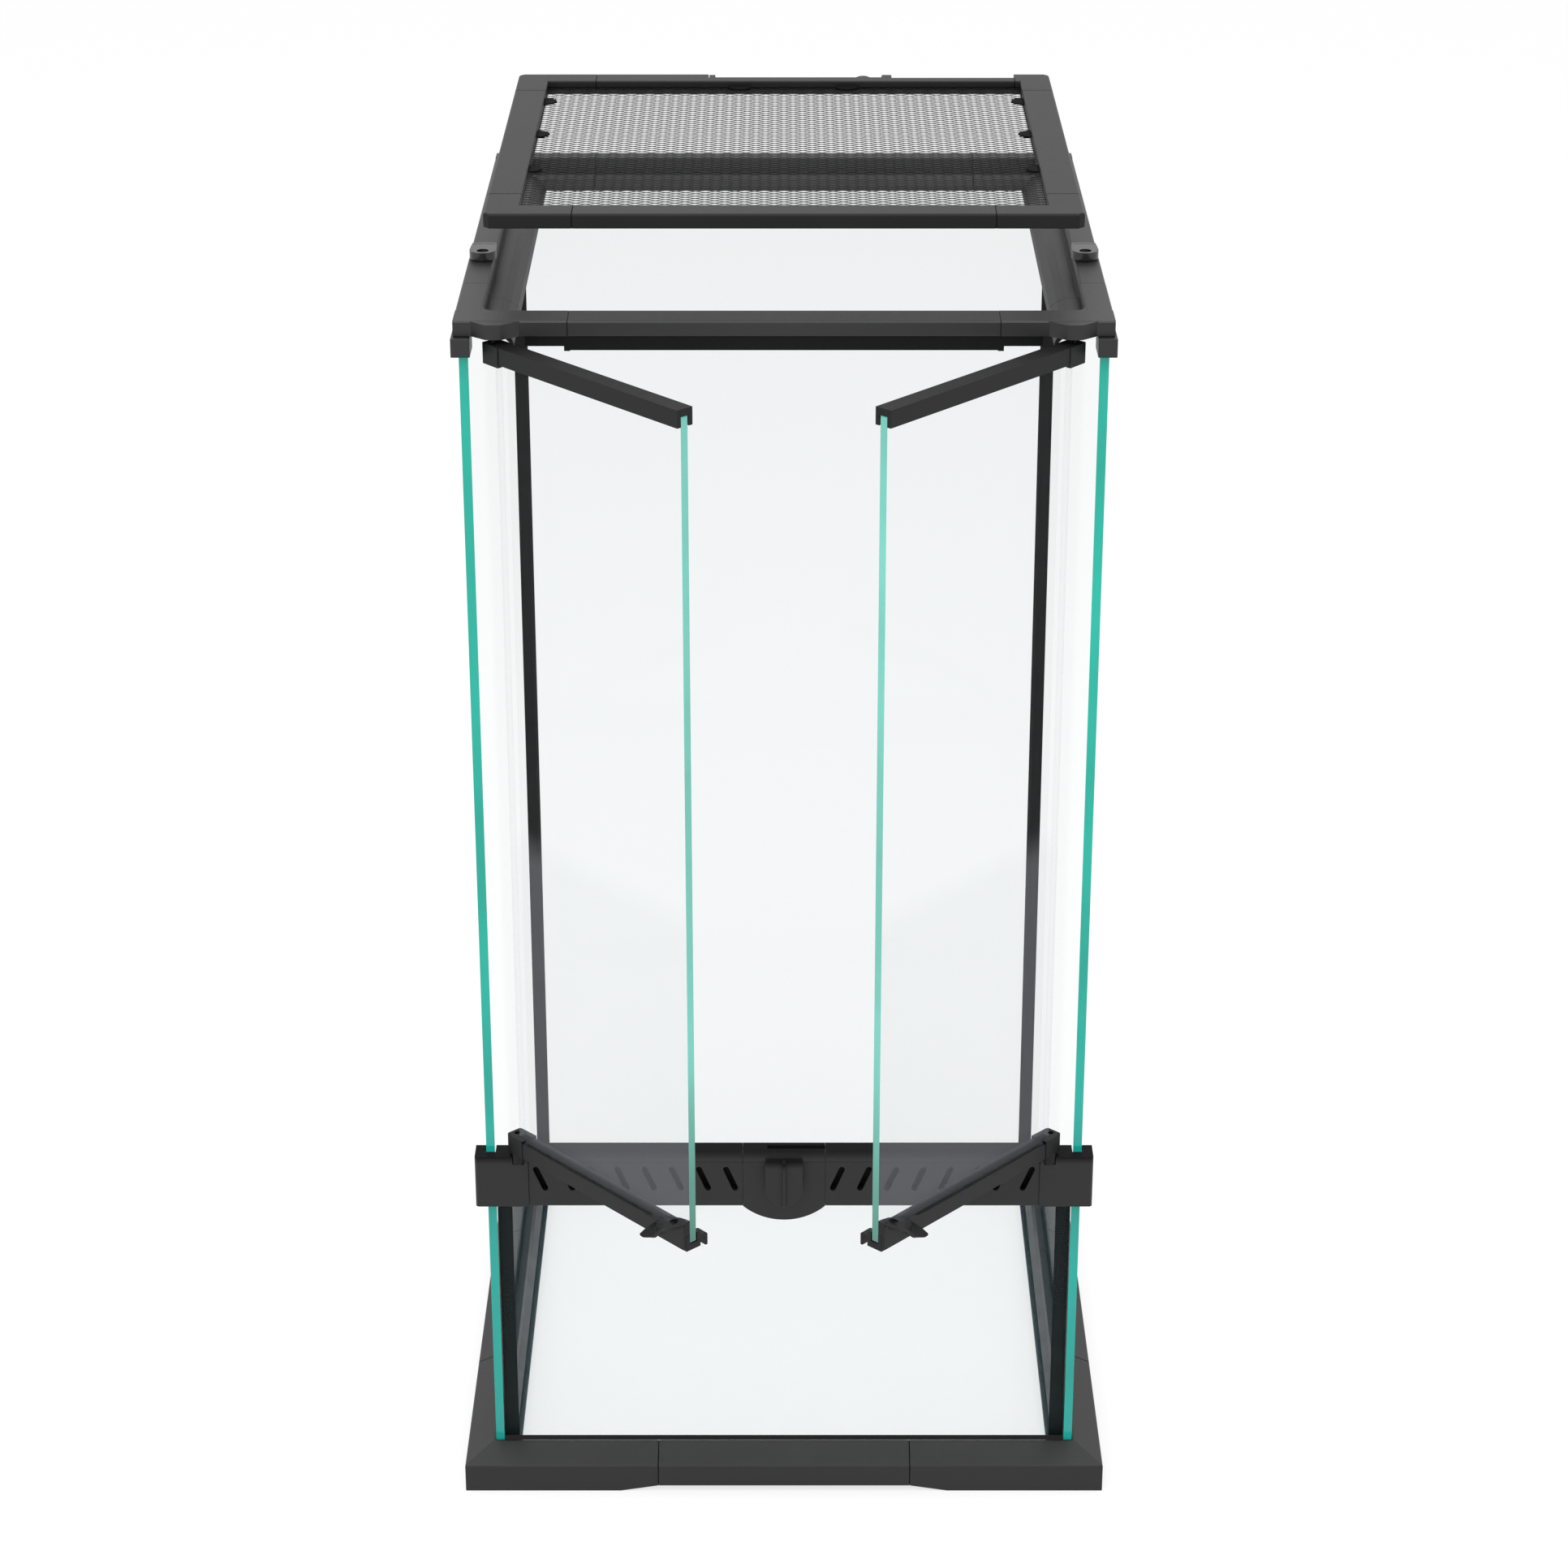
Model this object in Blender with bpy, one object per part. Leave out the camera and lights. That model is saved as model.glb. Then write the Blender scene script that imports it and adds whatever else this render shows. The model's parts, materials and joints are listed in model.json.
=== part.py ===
"""A glass terrarium with double front doors, a front vent bar with a turn lock and a screen cover.

Metres, +Z up. The tank is modelled about its own centre line, front towards -Y, and one empty
places it so that the origin is the middle of the floor area that it covers with its doors open.
The doors stand open and the screen cover is lifted straight off its seat.
"""

import math

import bmesh
import bpy
from mathutils import Vector

# Overall sizes
FRAME_WIDTH = 0.438
FRAME_DEPTH = 0.438
HEIGHT = 0.903
BASE_OVERHANG = 0.019

# Clearance between touching pieces, and the lengths that helpers for cuts and unions overlap by
GAP = 0.0003
SKIM = 0.0002
LAP = 0.001
OVERRUN = 0.01

# Glass
GLASS_INSET = 0.003
GLASS_FRONT_INSET = 0.004
PANE_SETBACK = 0.002
REAR_SETBACK = 0.001
GLASS_TOP_DROP = 0.0033
SIDE_GLASS = 0.0065
REAR_GLASS = 0.005
FRONT_GLASS = 0.005
FLOOR_GLASS = 0.006
DOOR_GLASS = 0.006

# Base frame
BASE_FACE = 0.0225
BASE_SLOPE_RISE = 0.0085
BASE_LIP = 0.0017
BASE_SHELF_TOP = 0.012
BASE_SHELF_THICK = 0.004
BASE_SHELF_REACH = 0.039
BASE_SKIRT = 0.003
BASE_CORNER_REACH = 0.144
FOOT_REACH = 0.116
FOOT_HEIGHT = 0.0045

# Seals
SEAL_RISE = 0.006
SEAL_WIDTH = 0.007
SEAL_EDGE = 0.0006
SEAL_HOLLOW = 0.45
STRIP_WIDTH = 0.0105
STRIP_DEPTH = 0.0045
STRIP_KNEE_ACROSS = 0.75
STRIP_KNEE_DEEP = 0.6

# Top frame
SIDE_RAIL = 0.018
FRONT_RAIL = 0.0255
REAR_RAIL = 0.016
RAIL_FACE = 0.0103
SEAT_DEPTH = 0.0108
SEAT_THICK = 0.0037
SIDE_SKIRT = 0.0395
REAR_SKIRT = 0.035
SKIRT_DROP = 0.0205
SKIRT_BEND_DROP = 0.0022
SKIRT_SLOPE_DROP = 0.0062
SKIRT_EDGE = 0.002
RAIL_WALL = 0.003
FRONT_SEAT = 0.0105
FRONT_WALL = 0.0045
TOP_CORNER_REACH_X = 0.0755
TOP_CORNER_REACH_Y = 0.088
CHAMFER = 0.001
BULGE_OUT = 0.0085
BULGE_FOOT_OUTER = 0.0155
BULGE_FOOT_INNER = 0.0185
BULGE_NOSE_OUTER = 0.0038
BULGE_NOSE_INNER = 0.0055
CORNER_FILLET = 0.008
STOP_HINGE_ROOM = 0.0205
STOP_DROP = 0.0116
STOP_DEPTH = 0.012
STOP_DOOR_ROOM = 0.0007
STOP_LUG = 0.004
STOP_LUG_DROP = 0.0006
STOP_TAIL = 0.026
STOP_TAIL_RISE = 0.0028
CAP_WALL = 0.0042
CAP_INNER_WALL = 0.0015
CAP_HEIGHT = 0.013
CAP_FRONT = 0.005
CAP_LENGTH = 0.018
CAP_REAR_ROOM = 0.003

# Doors
HINGE_INSET = 0.0265
DOOR_OPEN = math.radians(47.2)
DOOR_MIDDLE_GAP = 0.001
CHANNEL_WIDE = 0.013
CHANNEL_TALL = 0.012
CHANNEL_BITE = 0.007
DOOR_TOP_DROP = 0.014
DOOR_OVER_VENT = 0.002
DOOR_GLASS_START = 0.0055
PIN_RADIUS = 0.002
PIN_BITE = 0.007
BLOCK_REACH = 0.013
BLOCK_PROUD = 0.0005
BLOCK_NOSE = 0.0045
BOSS_RADIUS = 0.0055
BOSS_DROP = 0.0095
BOSS_ROOM = 0.0006
PULL_PROUD = 0.0027
PULL_RISE = 0.0025
PULL_TALL = 0.0236
PULL_LONG = 0.0365
LEVER_THICK = 0.0025
LEVER_CROWN = 0.25
LEVER_STEPS = 2
DIMPLE_BACK = 0.0122
DIMPLE_OUT = 0.0077
DIMPLE_RADIUS = 0.0032
DIMPLE_STRETCH = 1.5
DIMPLE_FLOOR = 0.0175
CATCH_LONG = 0.009
CATCH_THICK = 0.002
CATCH_BRIDGE = 0.003
CATCH_ROUND = 0.002

# Vent bar and lock
VENT_BOTTOM = 0.2356
VENT_FACE = 0.0372
VENT_RISE = 0.0057
VENT_FRONT = 0.0035
VENT_WALL = 0.0025
VENT_CLIP = 0.0078
VENT_BACK_GAP = 0.009
END_OUT = 0.008
END_WALL = 0.001
END_TOP_DROP = 0.002
END_PROUD = 0.001
SLOT_PITCH = 0.0197
SLOT_FIRST = 0.0387
SLOT_WIDE = 0.0044
SLOT_RISE = 0.0126
SLOT_TALL = 0.0200
SLOT_LEAN = 0.0065
SLOT_MARGIN = 0.006
LOCK_HALF = 0.0298
LOCK_BELLY = 0.0115
LOCK_BACK_GAP = 0.0005
KNOB_HALF = 0.0136
KNOB_TALL = 0.042
KNOB_UNDER_DOOR = 0.0007
KNOB_PLATE = 0.0048
KNOB_SHOULDER = 0.004
KNOB_FIN = 0.0036
KNOB_FIN_HALF = 0.0015
KNOB_NUB_TALL = 0.0085
SPINDLE_RADIUS = 0.004
CAM_FRONT_ROOM = 0.001
CAM_REAR_ROOM = 0.001
CAM_THICK = 0.003
CAM_REACH = 0.0265
CAM_HALF = 0.0115

# Screen cover
COVER_CLEARANCE = 0.002
COVER_LIFT = 0.0655
COVER_THICK = 0.010
COVER_BAR = 0.023
COVER_GROOVE = 0.004
COVER_CORNER_X = 0.0585
COVER_CORNER_Y = 0.051
COVER_REAR_RIGHT_X = 0.0265
COVER_ROUND = 0.004
MESH_THICK = 0.0015
MESH_DROP = 0.0049
MESH_COLUMNS = 8
MESH_ROWS = 16
MESH_STRAND = 0.0028
MESH_TIP = 1.6
MESH_FLANK = 0.75
RECESS_START = -0.0565
RECESS_DEPTH = 0.012
SLIDE_START = -0.056
SLIDE_END = 0.0807
SLIDE_TAB = 0.0045
SLIDE_THICK = 0.0035
SLIDE_TONGUE = 0.0025

# Cover latches
LATCH_AHEAD = 0.020
LATCH_BEHIND = 0.0075
LATCH_OUTER = 0.0134
LATCH_INNER = 0.0054
LATCH_PIVOT_INSET = 0.014
LATCH_FROM_FRONT = 0.160
LATCH_THICK = 0.0058
LATCH_GROOVE = 0.0007
LATCH_GROOVE_INSET = 0.0032
LATCH_DIMPLE = 0.0042
LATCH_DIMPLE_DEEP = 0.0016
LATCH_LIFT = 0.0004
LATCH_PIN = 0.002
LATCH_PIN_LONG = 0.009

# Places worked out from the sizes
HALF_X = FRAME_WIDTH / 2
HALF_Y = FRAME_DEPTH / 2
BASE_X = HALF_X + BASE_OVERHANG
BASE_Y = HALF_Y + BASE_OVERHANG
GLASS_X = HALF_X - GLASS_INSET
GLASS_Y = HALF_Y - GLASS_INSET
INNER_X = GLASS_X - SIDE_GLASS
SIDE_GLASS_FRONT = -HALF_Y + GLASS_FRONT_INSET
FRONT_GLASS_Y = -(GLASS_Y - PANE_SETBACK)
REAR_GLASS_Y = GLASS_Y - REAR_SETBACK
FRONT_INNER = FRONT_GLASS_Y + FRONT_GLASS
REAR_INNER = REAR_GLASS_Y - REAR_GLASS
GLASS_FOOT = BASE_SHELF_TOP + GAP
GLASS_TOP = HEIGHT - GLASS_TOP_DROP
GROOVE_TOP = GLASS_TOP + GAP
FLOOR_TOP = GLASS_FOOT + FLOOR_GLASS
BASE_TOP = BASE_FACE + BASE_SLOPE_RISE
SKIRT_BOTTOM = HEIGHT - SKIRT_DROP
HINGE_X = HALF_X - HINGE_INSET
HINGE_Y = -HALF_Y
DOOR_LENGTH = HINGE_X - DOOR_MIDDLE_GAP
DOOR_TOP = HEIGHT - DOOR_TOP_DROP
VENT_FACE_TOP = VENT_BOTTOM + VENT_FACE
VENT_TOP = VENT_FACE_TOP + VENT_RISE
VENT_END_TOP = VENT_TOP - END_TOP_DROP
CAM_BACK = CHANNEL_WIDE / 2 + CAM_FRONT_ROOM + CAM_THICK
VENT_DEPTH = VENT_FRONT + CAM_BACK + CAM_REAR_ROOM + VENT_WALL
STOP_HALF = HINGE_X - STOP_HINGE_ROOM - STOP_TAIL - STOP_LUG
DOOR_BOTTOM = VENT_TOP + DOOR_OVER_VENT
BOSS_BOTTOM = DOOR_BOTTOM - BOSS_DROP
END_INNER_X = HINGE_X - BOSS_RADIUS - BOSS_ROOM - END_WALL
SLOT_LOW = VENT_BOTTOM + SLOT_RISE
SLOT_HIGH = SLOT_LOW + SLOT_TALL
SLOT_RUN = END_INNER_X - SLOT_MARGIN - SLOT_FIRST
SLOT_COUNT = int(SLOT_RUN / SLOT_PITCH) + 1
KNOB_Z = DOOR_BOTTOM - KNOB_UNDER_DOOR - KNOB_TALL / 2
KNOB_BACK = CHANNEL_WIDE / 2 + 2 * GAP
COVER_X = HALF_X - SIDE_RAIL - COVER_CLEARANCE
COVER_FRONT = -HALF_Y + FRONT_RAIL + COVER_CLEARANCE
COVER_REAR = HALF_Y - REAR_RAIL - COVER_CLEARANCE
COVER_Y = (COVER_REAR - COVER_FRONT) / 2
COVER_MID = (COVER_REAR + COVER_FRONT) / 2
COVER_TOP = HEIGHT - SEAT_DEPTH + GAP + COVER_THICK
PULL_FRONT = CHANNEL_WIDE / 2 + GAP + PULL_PROUD
DOOR_REACH = HALF_Y + DOOR_LENGTH * math.sin(DOOR_OPEN) + PULL_FRONT * math.cos(DOOR_OPEN)
DATUM_Y = (DOOR_REACH - BASE_Y) / 2

SIDES = (("left", -1), ("right", 1))
ENDS = (("front", -1), ("rear", 1))


def clear_scene():
    for item in list(bpy.data.objects):
        bpy.data.objects.remove(item, do_unlink=True)


def material(name, colour, roughness, transmission=0.0):
    made = bpy.data.materials.new(name)
    made.use_nodes = True
    shader = made.node_tree.nodes["Principled BSDF"]
    shader.inputs["Base Color"].default_value = (*colour, 1.0)
    shader.inputs["Roughness"].default_value = roughness
    shader.inputs["Metallic"].default_value = 0.0
    shader.inputs["Transmission Weight"].default_value = transmission
    return made


def plastic(name):
    return material(name, (0.055, 0.055, 0.058), 0.5)


def soft_seal(name):
    return material(name, (0.02, 0.02, 0.02), 0.3)


def clear_glass(name):
    return material(name, (0.80, 0.95, 0.92), 0.02, 0.9)


def coated_wire(name):
    return material(name, (0.02, 0.02, 0.022), 0.45)


def empty(name, location=(0, 0, 0), parent=None, turn=0.0):
    made = bpy.data.objects.new(name, None)
    made.location = location
    made.rotation_euler = (0, 0, turn)
    made.parent = parent
    bpy.context.scene.collection.objects.link(made)
    return made


def object_from(name, shape, parent, skin=None):
    """Turns a bmesh into an object. Without a skin it is a hidden helper for a Boolean."""
    bmesh.ops.remove_doubles(shape, verts=shape.verts, dist=1e-6)
    bmesh.ops.recalc_face_normals(shape, faces=shape.faces)
    mesh = bpy.data.meshes.new(name)
    shape.to_mesh(mesh)
    shape.free()
    made = bpy.data.objects.new(name, mesh)
    made.parent = parent
    bpy.context.scene.collection.objects.link(made)
    if skin is None:
        made.hide_render = True
        made.display_type = "WIRE"
    else:
        mesh.materials.append(skin(name))
        mesh.shade_smooth()
        mesh.set_sharp_from_angle(angle=math.radians(32))
    return made


def in_space(axis, point, along):
    """Puts a point of an outline, in the two other axes, at a place along this axis."""
    if axis == "X":
        return (along, point[0], point[1])
    if axis == "Y":
        return (point[0], along, point[1])
    return (point[0], point[1], along)


def add_loft(shape, rings):
    """Skins a row of rings that have as many points, and closes both ends."""
    rows = [[shape.verts.new(point) for point in ring] for ring in rings]
    count = len(rows[0])
    for before, after in zip(rows, rows[1:]):
        for here in range(count):
            there = (here + 1) % count
            shape.faces.new((before[here], before[there], after[there], after[here]))
    shape.faces.new(reversed(rows[0]))
    shape.faces.new(rows[-1])


def add_prism(shape, outline, axis, start, end):
    rings = [[in_space(axis, point, along) for point in outline] for along in (start, end)]
    add_loft(shape, rings)


def prism(name, outline, axis, start, end, parent, skin=None):
    shape = bmesh.new()
    add_prism(shape, outline, axis, start, end)
    return object_from(name, shape, parent, skin)


def rectangle(low_x, low_y, high_x, high_y):
    return [(low_x, low_y), (high_x, low_y), (high_x, high_y), (low_x, high_y)]


def box(name, low, high, parent, skin=None):
    outline = rectangle(low[0], low[1], high[0], high[1])
    return prism(name, outline, "Z", low[2], high[2], parent, skin)


def arc(centre, radius, first, last, steps):
    """Points on an arc, with its angles in degrees."""
    points = []
    for step in range(steps + 1):
        angle = math.radians(first + (last - first) * step / steps)
        points.append((centre[0] + radius * math.cos(angle), centre[1] + radius * math.sin(angle)))
    return points


def disc(centre, radius, steps=20):
    return arc(centre, radius, 0, 360 - 360 / steps, steps - 1)


def combine(target, tool, operation):
    modifier = target.modifiers.new(operation.lower(), "BOOLEAN")
    modifier.operation = operation
    modifier.solver = "EXACT"
    modifier.object = tool


def add_to(target, tool):
    combine(target, tool, "UNION")


def cut_from(target, tool):
    combine(target, tool, "DIFFERENCE")


def flipped(outline, side):
    return [(side * across, up) for across, up in outline]


def inset_run(profile, half, side):
    """A profile of (inset, height) points as (across, height) on one side of a frame."""
    return [(side * (half - inset), height) for inset, height in profile]


# Base frame


def base_profile(bottom):
    slope_end = BASE_X - GLASS_X - GAP - BASE_LIP
    return [
        (0, bottom),
        (0, BASE_FACE - CHAMFER),
        (CHAMFER, BASE_FACE),
        (slope_end, BASE_TOP),
        (BASE_X - GLASS_X - GAP, BASE_TOP),
        (BASE_X - GLASS_X - GAP, BASE_SHELF_TOP),
        (BASE_SHELF_REACH, BASE_SHELF_TOP),
        (BASE_SHELF_REACH, BASE_SHELF_TOP - BASE_SHELF_THICK),
        (BASE_SKIRT, BASE_SHELF_TOP - BASE_SHELF_THICK),
        (BASE_SKIRT, bottom),
    ]


def base_corner(name, x_side, y_side, parent):
    end_x = BASE_X - BASE_CORNER_REACH
    foot_x = BASE_X - FOOT_REACH
    end_y = BASE_Y - BASE_CORNER_REACH
    foot_y = BASE_Y - FOOT_REACH
    raised = base_profile(FOOT_HEIGHT)
    low = base_profile(0)
    rings = [
        [(x_side * end_x, y_side * (BASE_Y - inset), height) for inset, height in raised],
        [(x_side * foot_x, y_side * (BASE_Y - inset), height) for inset, height in low],
        [(x_side * (BASE_X - inset), y_side * (BASE_Y - inset), height) for inset, height in low],
        [(x_side * (BASE_X - inset), y_side * foot_y, height) for inset, height in low],
        [(x_side * (BASE_X - inset), y_side * end_y, height) for inset, height in raised],
    ]
    shape = bmesh.new()
    add_loft(shape, rings)
    return object_from(name, shape, parent, plastic)


def base_frame(parent):
    for x_name, x_side in SIDES:
        for y_name, y_side in ENDS:
            base_corner(f"base_corner_{y_name}_{x_name}", x_side, y_side, parent)
    profile = base_profile(FOOT_HEIGHT)
    half = BASE_X - BASE_CORNER_REACH - GAP
    for y_name, y_side in ENDS:
        run = inset_run(profile, BASE_Y, y_side)
        prism(f"base_bar_{y_name}", run, "X", -half, half, parent, plastic)
    half = BASE_Y - BASE_CORNER_REACH - GAP
    for x_name, x_side in SIDES:
        run = inset_run(profile, BASE_X, x_side)
        prism(f"base_bar_{x_name}", run, "Y", -half, half, parent, plastic)


# Glass and its seals


def panes(parent):
    for x_name, x_side in SIDES:
        low = (min(x_side * INNER_X, x_side * GLASS_X), SIDE_GLASS_FRONT, GLASS_FOOT)
        high = (max(x_side * INNER_X, x_side * GLASS_X), GLASS_Y, GLASS_TOP)
        box(f"side_glass_{x_name}", low, high, parent, clear_glass)
    half = INNER_X - GAP
    low = (-half, REAR_INNER, GLASS_FOOT)
    box("rear_glass", low, (half, REAR_GLASS_Y, GLASS_TOP), parent, clear_glass)
    low = (-half, FRONT_GLASS_Y, GLASS_FOOT)
    high = (half, FRONT_INNER, VENT_BOTTOM + VENT_CLIP - 2 * GAP)
    box("front_lower_glass", low, high, parent, clear_glass)
    low = (-half, FRONT_INNER + GAP, GLASS_FOOT)
    box("floor_glass", low, (half, REAR_INNER - GAP, FLOOR_TOP), parent, clear_glass)


def floor_seal(parent):
    """A fillet that runs round the floor where it meets the four walls."""
    middle = (FRONT_INNER + REAR_INNER) / 2
    half_x = INNER_X - GAP
    half_y = (REAR_INNER - FRONT_INNER) / 2 - GAP
    low = FLOOR_TOP + GAP
    section = [
        (0, low),
        (0, low + SEAL_RISE),
        (SEAL_WIDTH * 0.3, low + SEAL_RISE * SEAL_HOLLOW),
        (SEAL_WIDTH, low + SEAL_EDGE),
        (SEAL_WIDTH, low),
    ]
    rings = []
    for x_side, y_side in ((-1, -1), (1, -1), (1, 1), (-1, 1)):
        ring = [
            (x_side * (half_x - inset), middle + y_side * (half_y - inset), height)
            for inset, height in section
        ]
        rings.append(ring)
    shape = bmesh.new()
    rows = [[shape.verts.new(point) for point in ring] for ring in rings]
    for turn, row in enumerate(rows):
        after = rows[(turn + 1) % len(rows)]
        for here in range(len(row)):
            there = (here + 1) % len(row)
            shape.faces.new((row[here], row[there], after[there], after[here]))
    object_from("floor_seal", shape, parent, soft_seal)


def corner_strips(parent):
    """Black strips that seal the upright corners, with a slanted inner face."""
    foot = FLOOR_TOP + SEAL_RISE + 3 * GAP
    wall = INNER_X - GAP
    for x_name, x_side in SIDES:
        front = FRONT_INNER + GAP
        outline = [
            (wall, front),
            (wall, front + STRIP_DEPTH),
            (wall - STRIP_WIDTH * STRIP_KNEE_ACROSS, front + STRIP_DEPTH * STRIP_KNEE_DEEP),
            (wall - STRIP_WIDTH, front),
        ]
        top = VENT_BOTTOM - GAP
        name = f"front_strip_{x_name}"
        prism(name, flipped(outline, x_side), "Z", foot, top, parent, soft_seal)
        rear = REAR_INNER - GAP
        outline = [
            (wall, rear),
            (wall, rear - STRIP_DEPTH),
            (wall - STRIP_WIDTH * STRIP_KNEE_ACROSS, rear - STRIP_DEPTH * STRIP_KNEE_DEEP),
            (wall - STRIP_WIDTH, rear),
        ]
        top = HEIGHT - SEAT_DEPTH - SEAT_THICK - GAP
        name = f"rear_strip_{x_name}"
        prism(name, flipped(outline, x_side), "Z", foot, top, parent, soft_seal)


# Top frame


def rail_top(width):
    return [
        (0, HEIGHT - RAIL_FACE),
        (0, HEIGHT - CHAMFER),
        (CHAMFER, HEIGHT),
        (width - CHAMFER, HEIGHT),
        (width, HEIGHT - CHAMFER),
        (width, HEIGHT - SEAT_DEPTH),
    ]


def skirted_profile(width, skirt, glass_outer, glass_inner):
    """A rail with a seat for the cover, a rounded skirt below it and a groove for a pane."""
    under = HEIGHT - SEAT_DEPTH - SEAT_THICK
    ridge = skirt - width
    profile = rail_top(width) + [
        (width + 0.45 * ridge, HEIGHT - SEAT_DEPTH),
        (width + 0.70 * ridge, HEIGHT - SEAT_DEPTH - SKIRT_BEND_DROP),
        (width + 0.92 * ridge, HEIGHT - SEAT_DEPTH - SKIRT_SLOPE_DROP),
        (skirt, SKIRT_BOTTOM),
        (skirt - SKIRT_EDGE, SKIRT_BOTTOM),
        (width + 0.60 * ridge, under),
    ]
    if glass_outer is None:
        return profile + [(RAIL_WALL, under), (RAIL_WALL, HEIGHT - RAIL_FACE)]
    return profile + [
        (glass_inner, under),
        (glass_inner, GROOVE_TOP),
        (glass_outer, GROOVE_TOP),
        (glass_outer, HEIGHT - RAIL_FACE),
    ]


def front_profile():
    return rail_top(FRONT_RAIL) + [
        (FRONT_RAIL + FRONT_SEAT, HEIGHT - SEAT_DEPTH),
        (FRONT_RAIL + FRONT_SEAT, HEIGHT - SEAT_DEPTH - SEAT_THICK),
        (FRONT_RAIL - FRONT_WALL, HEIGHT - SEAT_DEPTH - SEAT_THICK),
        (FRONT_RAIL - FRONT_WALL, HEIGHT - RAIL_FACE),
    ]


def hinge_bulge(name, x_side, parent):
    """The corner's wedge that stands out over the door's upper pin."""
    inside = -HALF_Y + 2 * LAP
    nose = -HALF_Y - BULGE_OUT
    outline = [
        (HINGE_X + BULGE_FOOT_OUTER, inside),
        (HINGE_X + BULGE_FOOT_OUTER, -HALF_Y + CHAMFER),
        (HINGE_X + BULGE_NOSE_OUTER + CHAMFER, nose + CHAMFER / 2),
        (HINGE_X + BULGE_NOSE_OUTER - CHAMFER, nose),
        (HINGE_X - BULGE_NOSE_INNER + CHAMFER, nose),
        (HINGE_X - BULGE_NOSE_INNER - CHAMFER, nose + CHAMFER / 2),
        (HINGE_X - BULGE_FOOT_INNER, -HALF_Y + CHAMFER),
        (HINGE_X - BULGE_FOOT_INNER, inside),
    ]
    floor = HEIGHT - RAIL_FACE - SKIM
    return prism(name, flipped(outline, x_side), "Z", floor, HEIGHT - SKIM, parent)


def corner_fillet(name, x_side, parent):
    """Rounds the frame's inner corner, from the cover's seat up to the top face."""
    radius = CORNER_FILLET
    corner = (HALF_X - SIDE_RAIL, -HALF_Y + FRONT_RAIL)
    centre = (corner[0] - radius, corner[1] + radius)
    outline = arc(centre, radius, -90, 0, 6)
    outline += [(corner[0] + 2 * LAP, corner[1] + radius), (corner[0] + 2 * LAP, corner[1] - 2 * LAP)]
    outline += [(corner[0] - radius, corner[1] - 2 * LAP)]
    floor = HEIGHT - SEAT_DEPTH - LAP
    return prism(name, flipped(outline, x_side), "Z", floor, HEIGHT - SKIM, parent)


def front_corner(x_name, x_side, parent):
    name = f"top_corner_front_{x_name}"
    run = inset_run(front_profile(), HALF_Y, -1)
    near = x_side * (HALF_X - TOP_CORNER_REACH_X)
    far = x_side * HALF_X
    piece = prism(name, run, "X", min(near, far), max(near, far), parent, plastic)
    run = inset_run(skirted_profile(SIDE_RAIL, SIDE_SKIRT, None, None), HALF_X, x_side)
    start = -HALF_Y + 1.5 * LAP
    side = prism(f"{name}_side", run, "Y", start, -HALF_Y + TOP_CORNER_REACH_Y, parent)
    add_to(piece, side)
    add_to(piece, hinge_bulge(f"{name}_bulge", x_side, parent))
    add_to(piece, corner_fillet(f"{name}_fillet", x_side, parent))
    cut_glass_groove(piece, x_side, SIDE_GLASS_FRONT, parent)
    cap_inner = INNER_X - CAP_INNER_WALL - 2 * GAP
    hinge_room = math.hypot(BLOCK_REACH, CHANNEL_WIDE / 2 + BLOCK_PROUD) + 2 * GAP
    hinge_inner = HALF_X - SIDE_SKIRT - OVERRUN / 2
    rooms = (("cap", cap_inner, CAP_LENGTH + CAP_REAR_ROOM), ("hinge", hinge_inner, hinge_room))
    for room, inner, depth in rooms:
        sides = (x_side * inner, x_side * (HALF_X + OVERRUN))
        low = (min(sides), -HALF_Y - BULGE_OUT - LAP, SKIRT_BOTTOM - OVERRUN)
        high = (max(sides), -HALF_Y + depth, HEIGHT - RAIL_FACE - SKIM / 2)
        cut_from(piece, box(f"{name}_{room}_room", low, high, parent))
    bore = disc((x_side * HINGE_X, HINGE_Y), PIN_RADIUS + GAP, 16)
    ceiling = DOOR_TOP + PIN_BITE + 2 * GAP
    cut_from(piece, prism(f"{name}_bore", bore, "Z", SKIRT_BOTTOM - OVERRUN, ceiling, parent))
    return piece


def cut_glass_groove(piece, x_side, start, parent):
    """Opens the underside over a side pane."""
    sides = (x_side * (INNER_X - GAP), x_side * (GLASS_X + GAP))
    low = (min(sides), start - GAP, SKIRT_BOTTOM - OVERRUN)
    high = (max(sides), GLASS_Y + GAP, GROOVE_TOP)
    cut_from(piece, box(f"{piece.name}_side_groove", low, high, parent))


def rear_corner(x_name, x_side, parent):
    name = f"top_corner_rear_{x_name}"
    profile = skirted_profile(REAR_RAIL, REAR_SKIRT, None, None)
    near = x_side * (HALF_X - TOP_CORNER_REACH_X)
    far = x_side * HALF_X
    run = inset_run(profile, HALF_Y, 1)
    piece = prism(name, run, "X", min(near, far), max(near, far), parent, plastic)
    run = inset_run(skirted_profile(SIDE_RAIL, SIDE_SKIRT, None, None), HALF_X, x_side)
    end = HALF_Y - 1.5 * LAP
    side = prism(f"{name}_side", run, "Y", HALF_Y - TOP_CORNER_REACH_Y, end, parent)
    add_to(piece, side)
    cut_glass_groove(piece, x_side, -GLASS_Y, parent)
    inner = x_side * (HALF_X - TOP_CORNER_REACH_X - OVERRUN)
    outer = x_side * (INNER_X + LAP)
    low = (min(inner, outer), REAR_INNER - GAP, SKIRT_BOTTOM - OVERRUN)
    high = (max(inner, outer), REAR_GLASS_Y + GAP, GROOVE_TOP)
    cut_from(piece, box(f"{name}_rear_groove", low, high, parent))
    clear_outside(piece, x_side, parent)
    return piece


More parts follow.
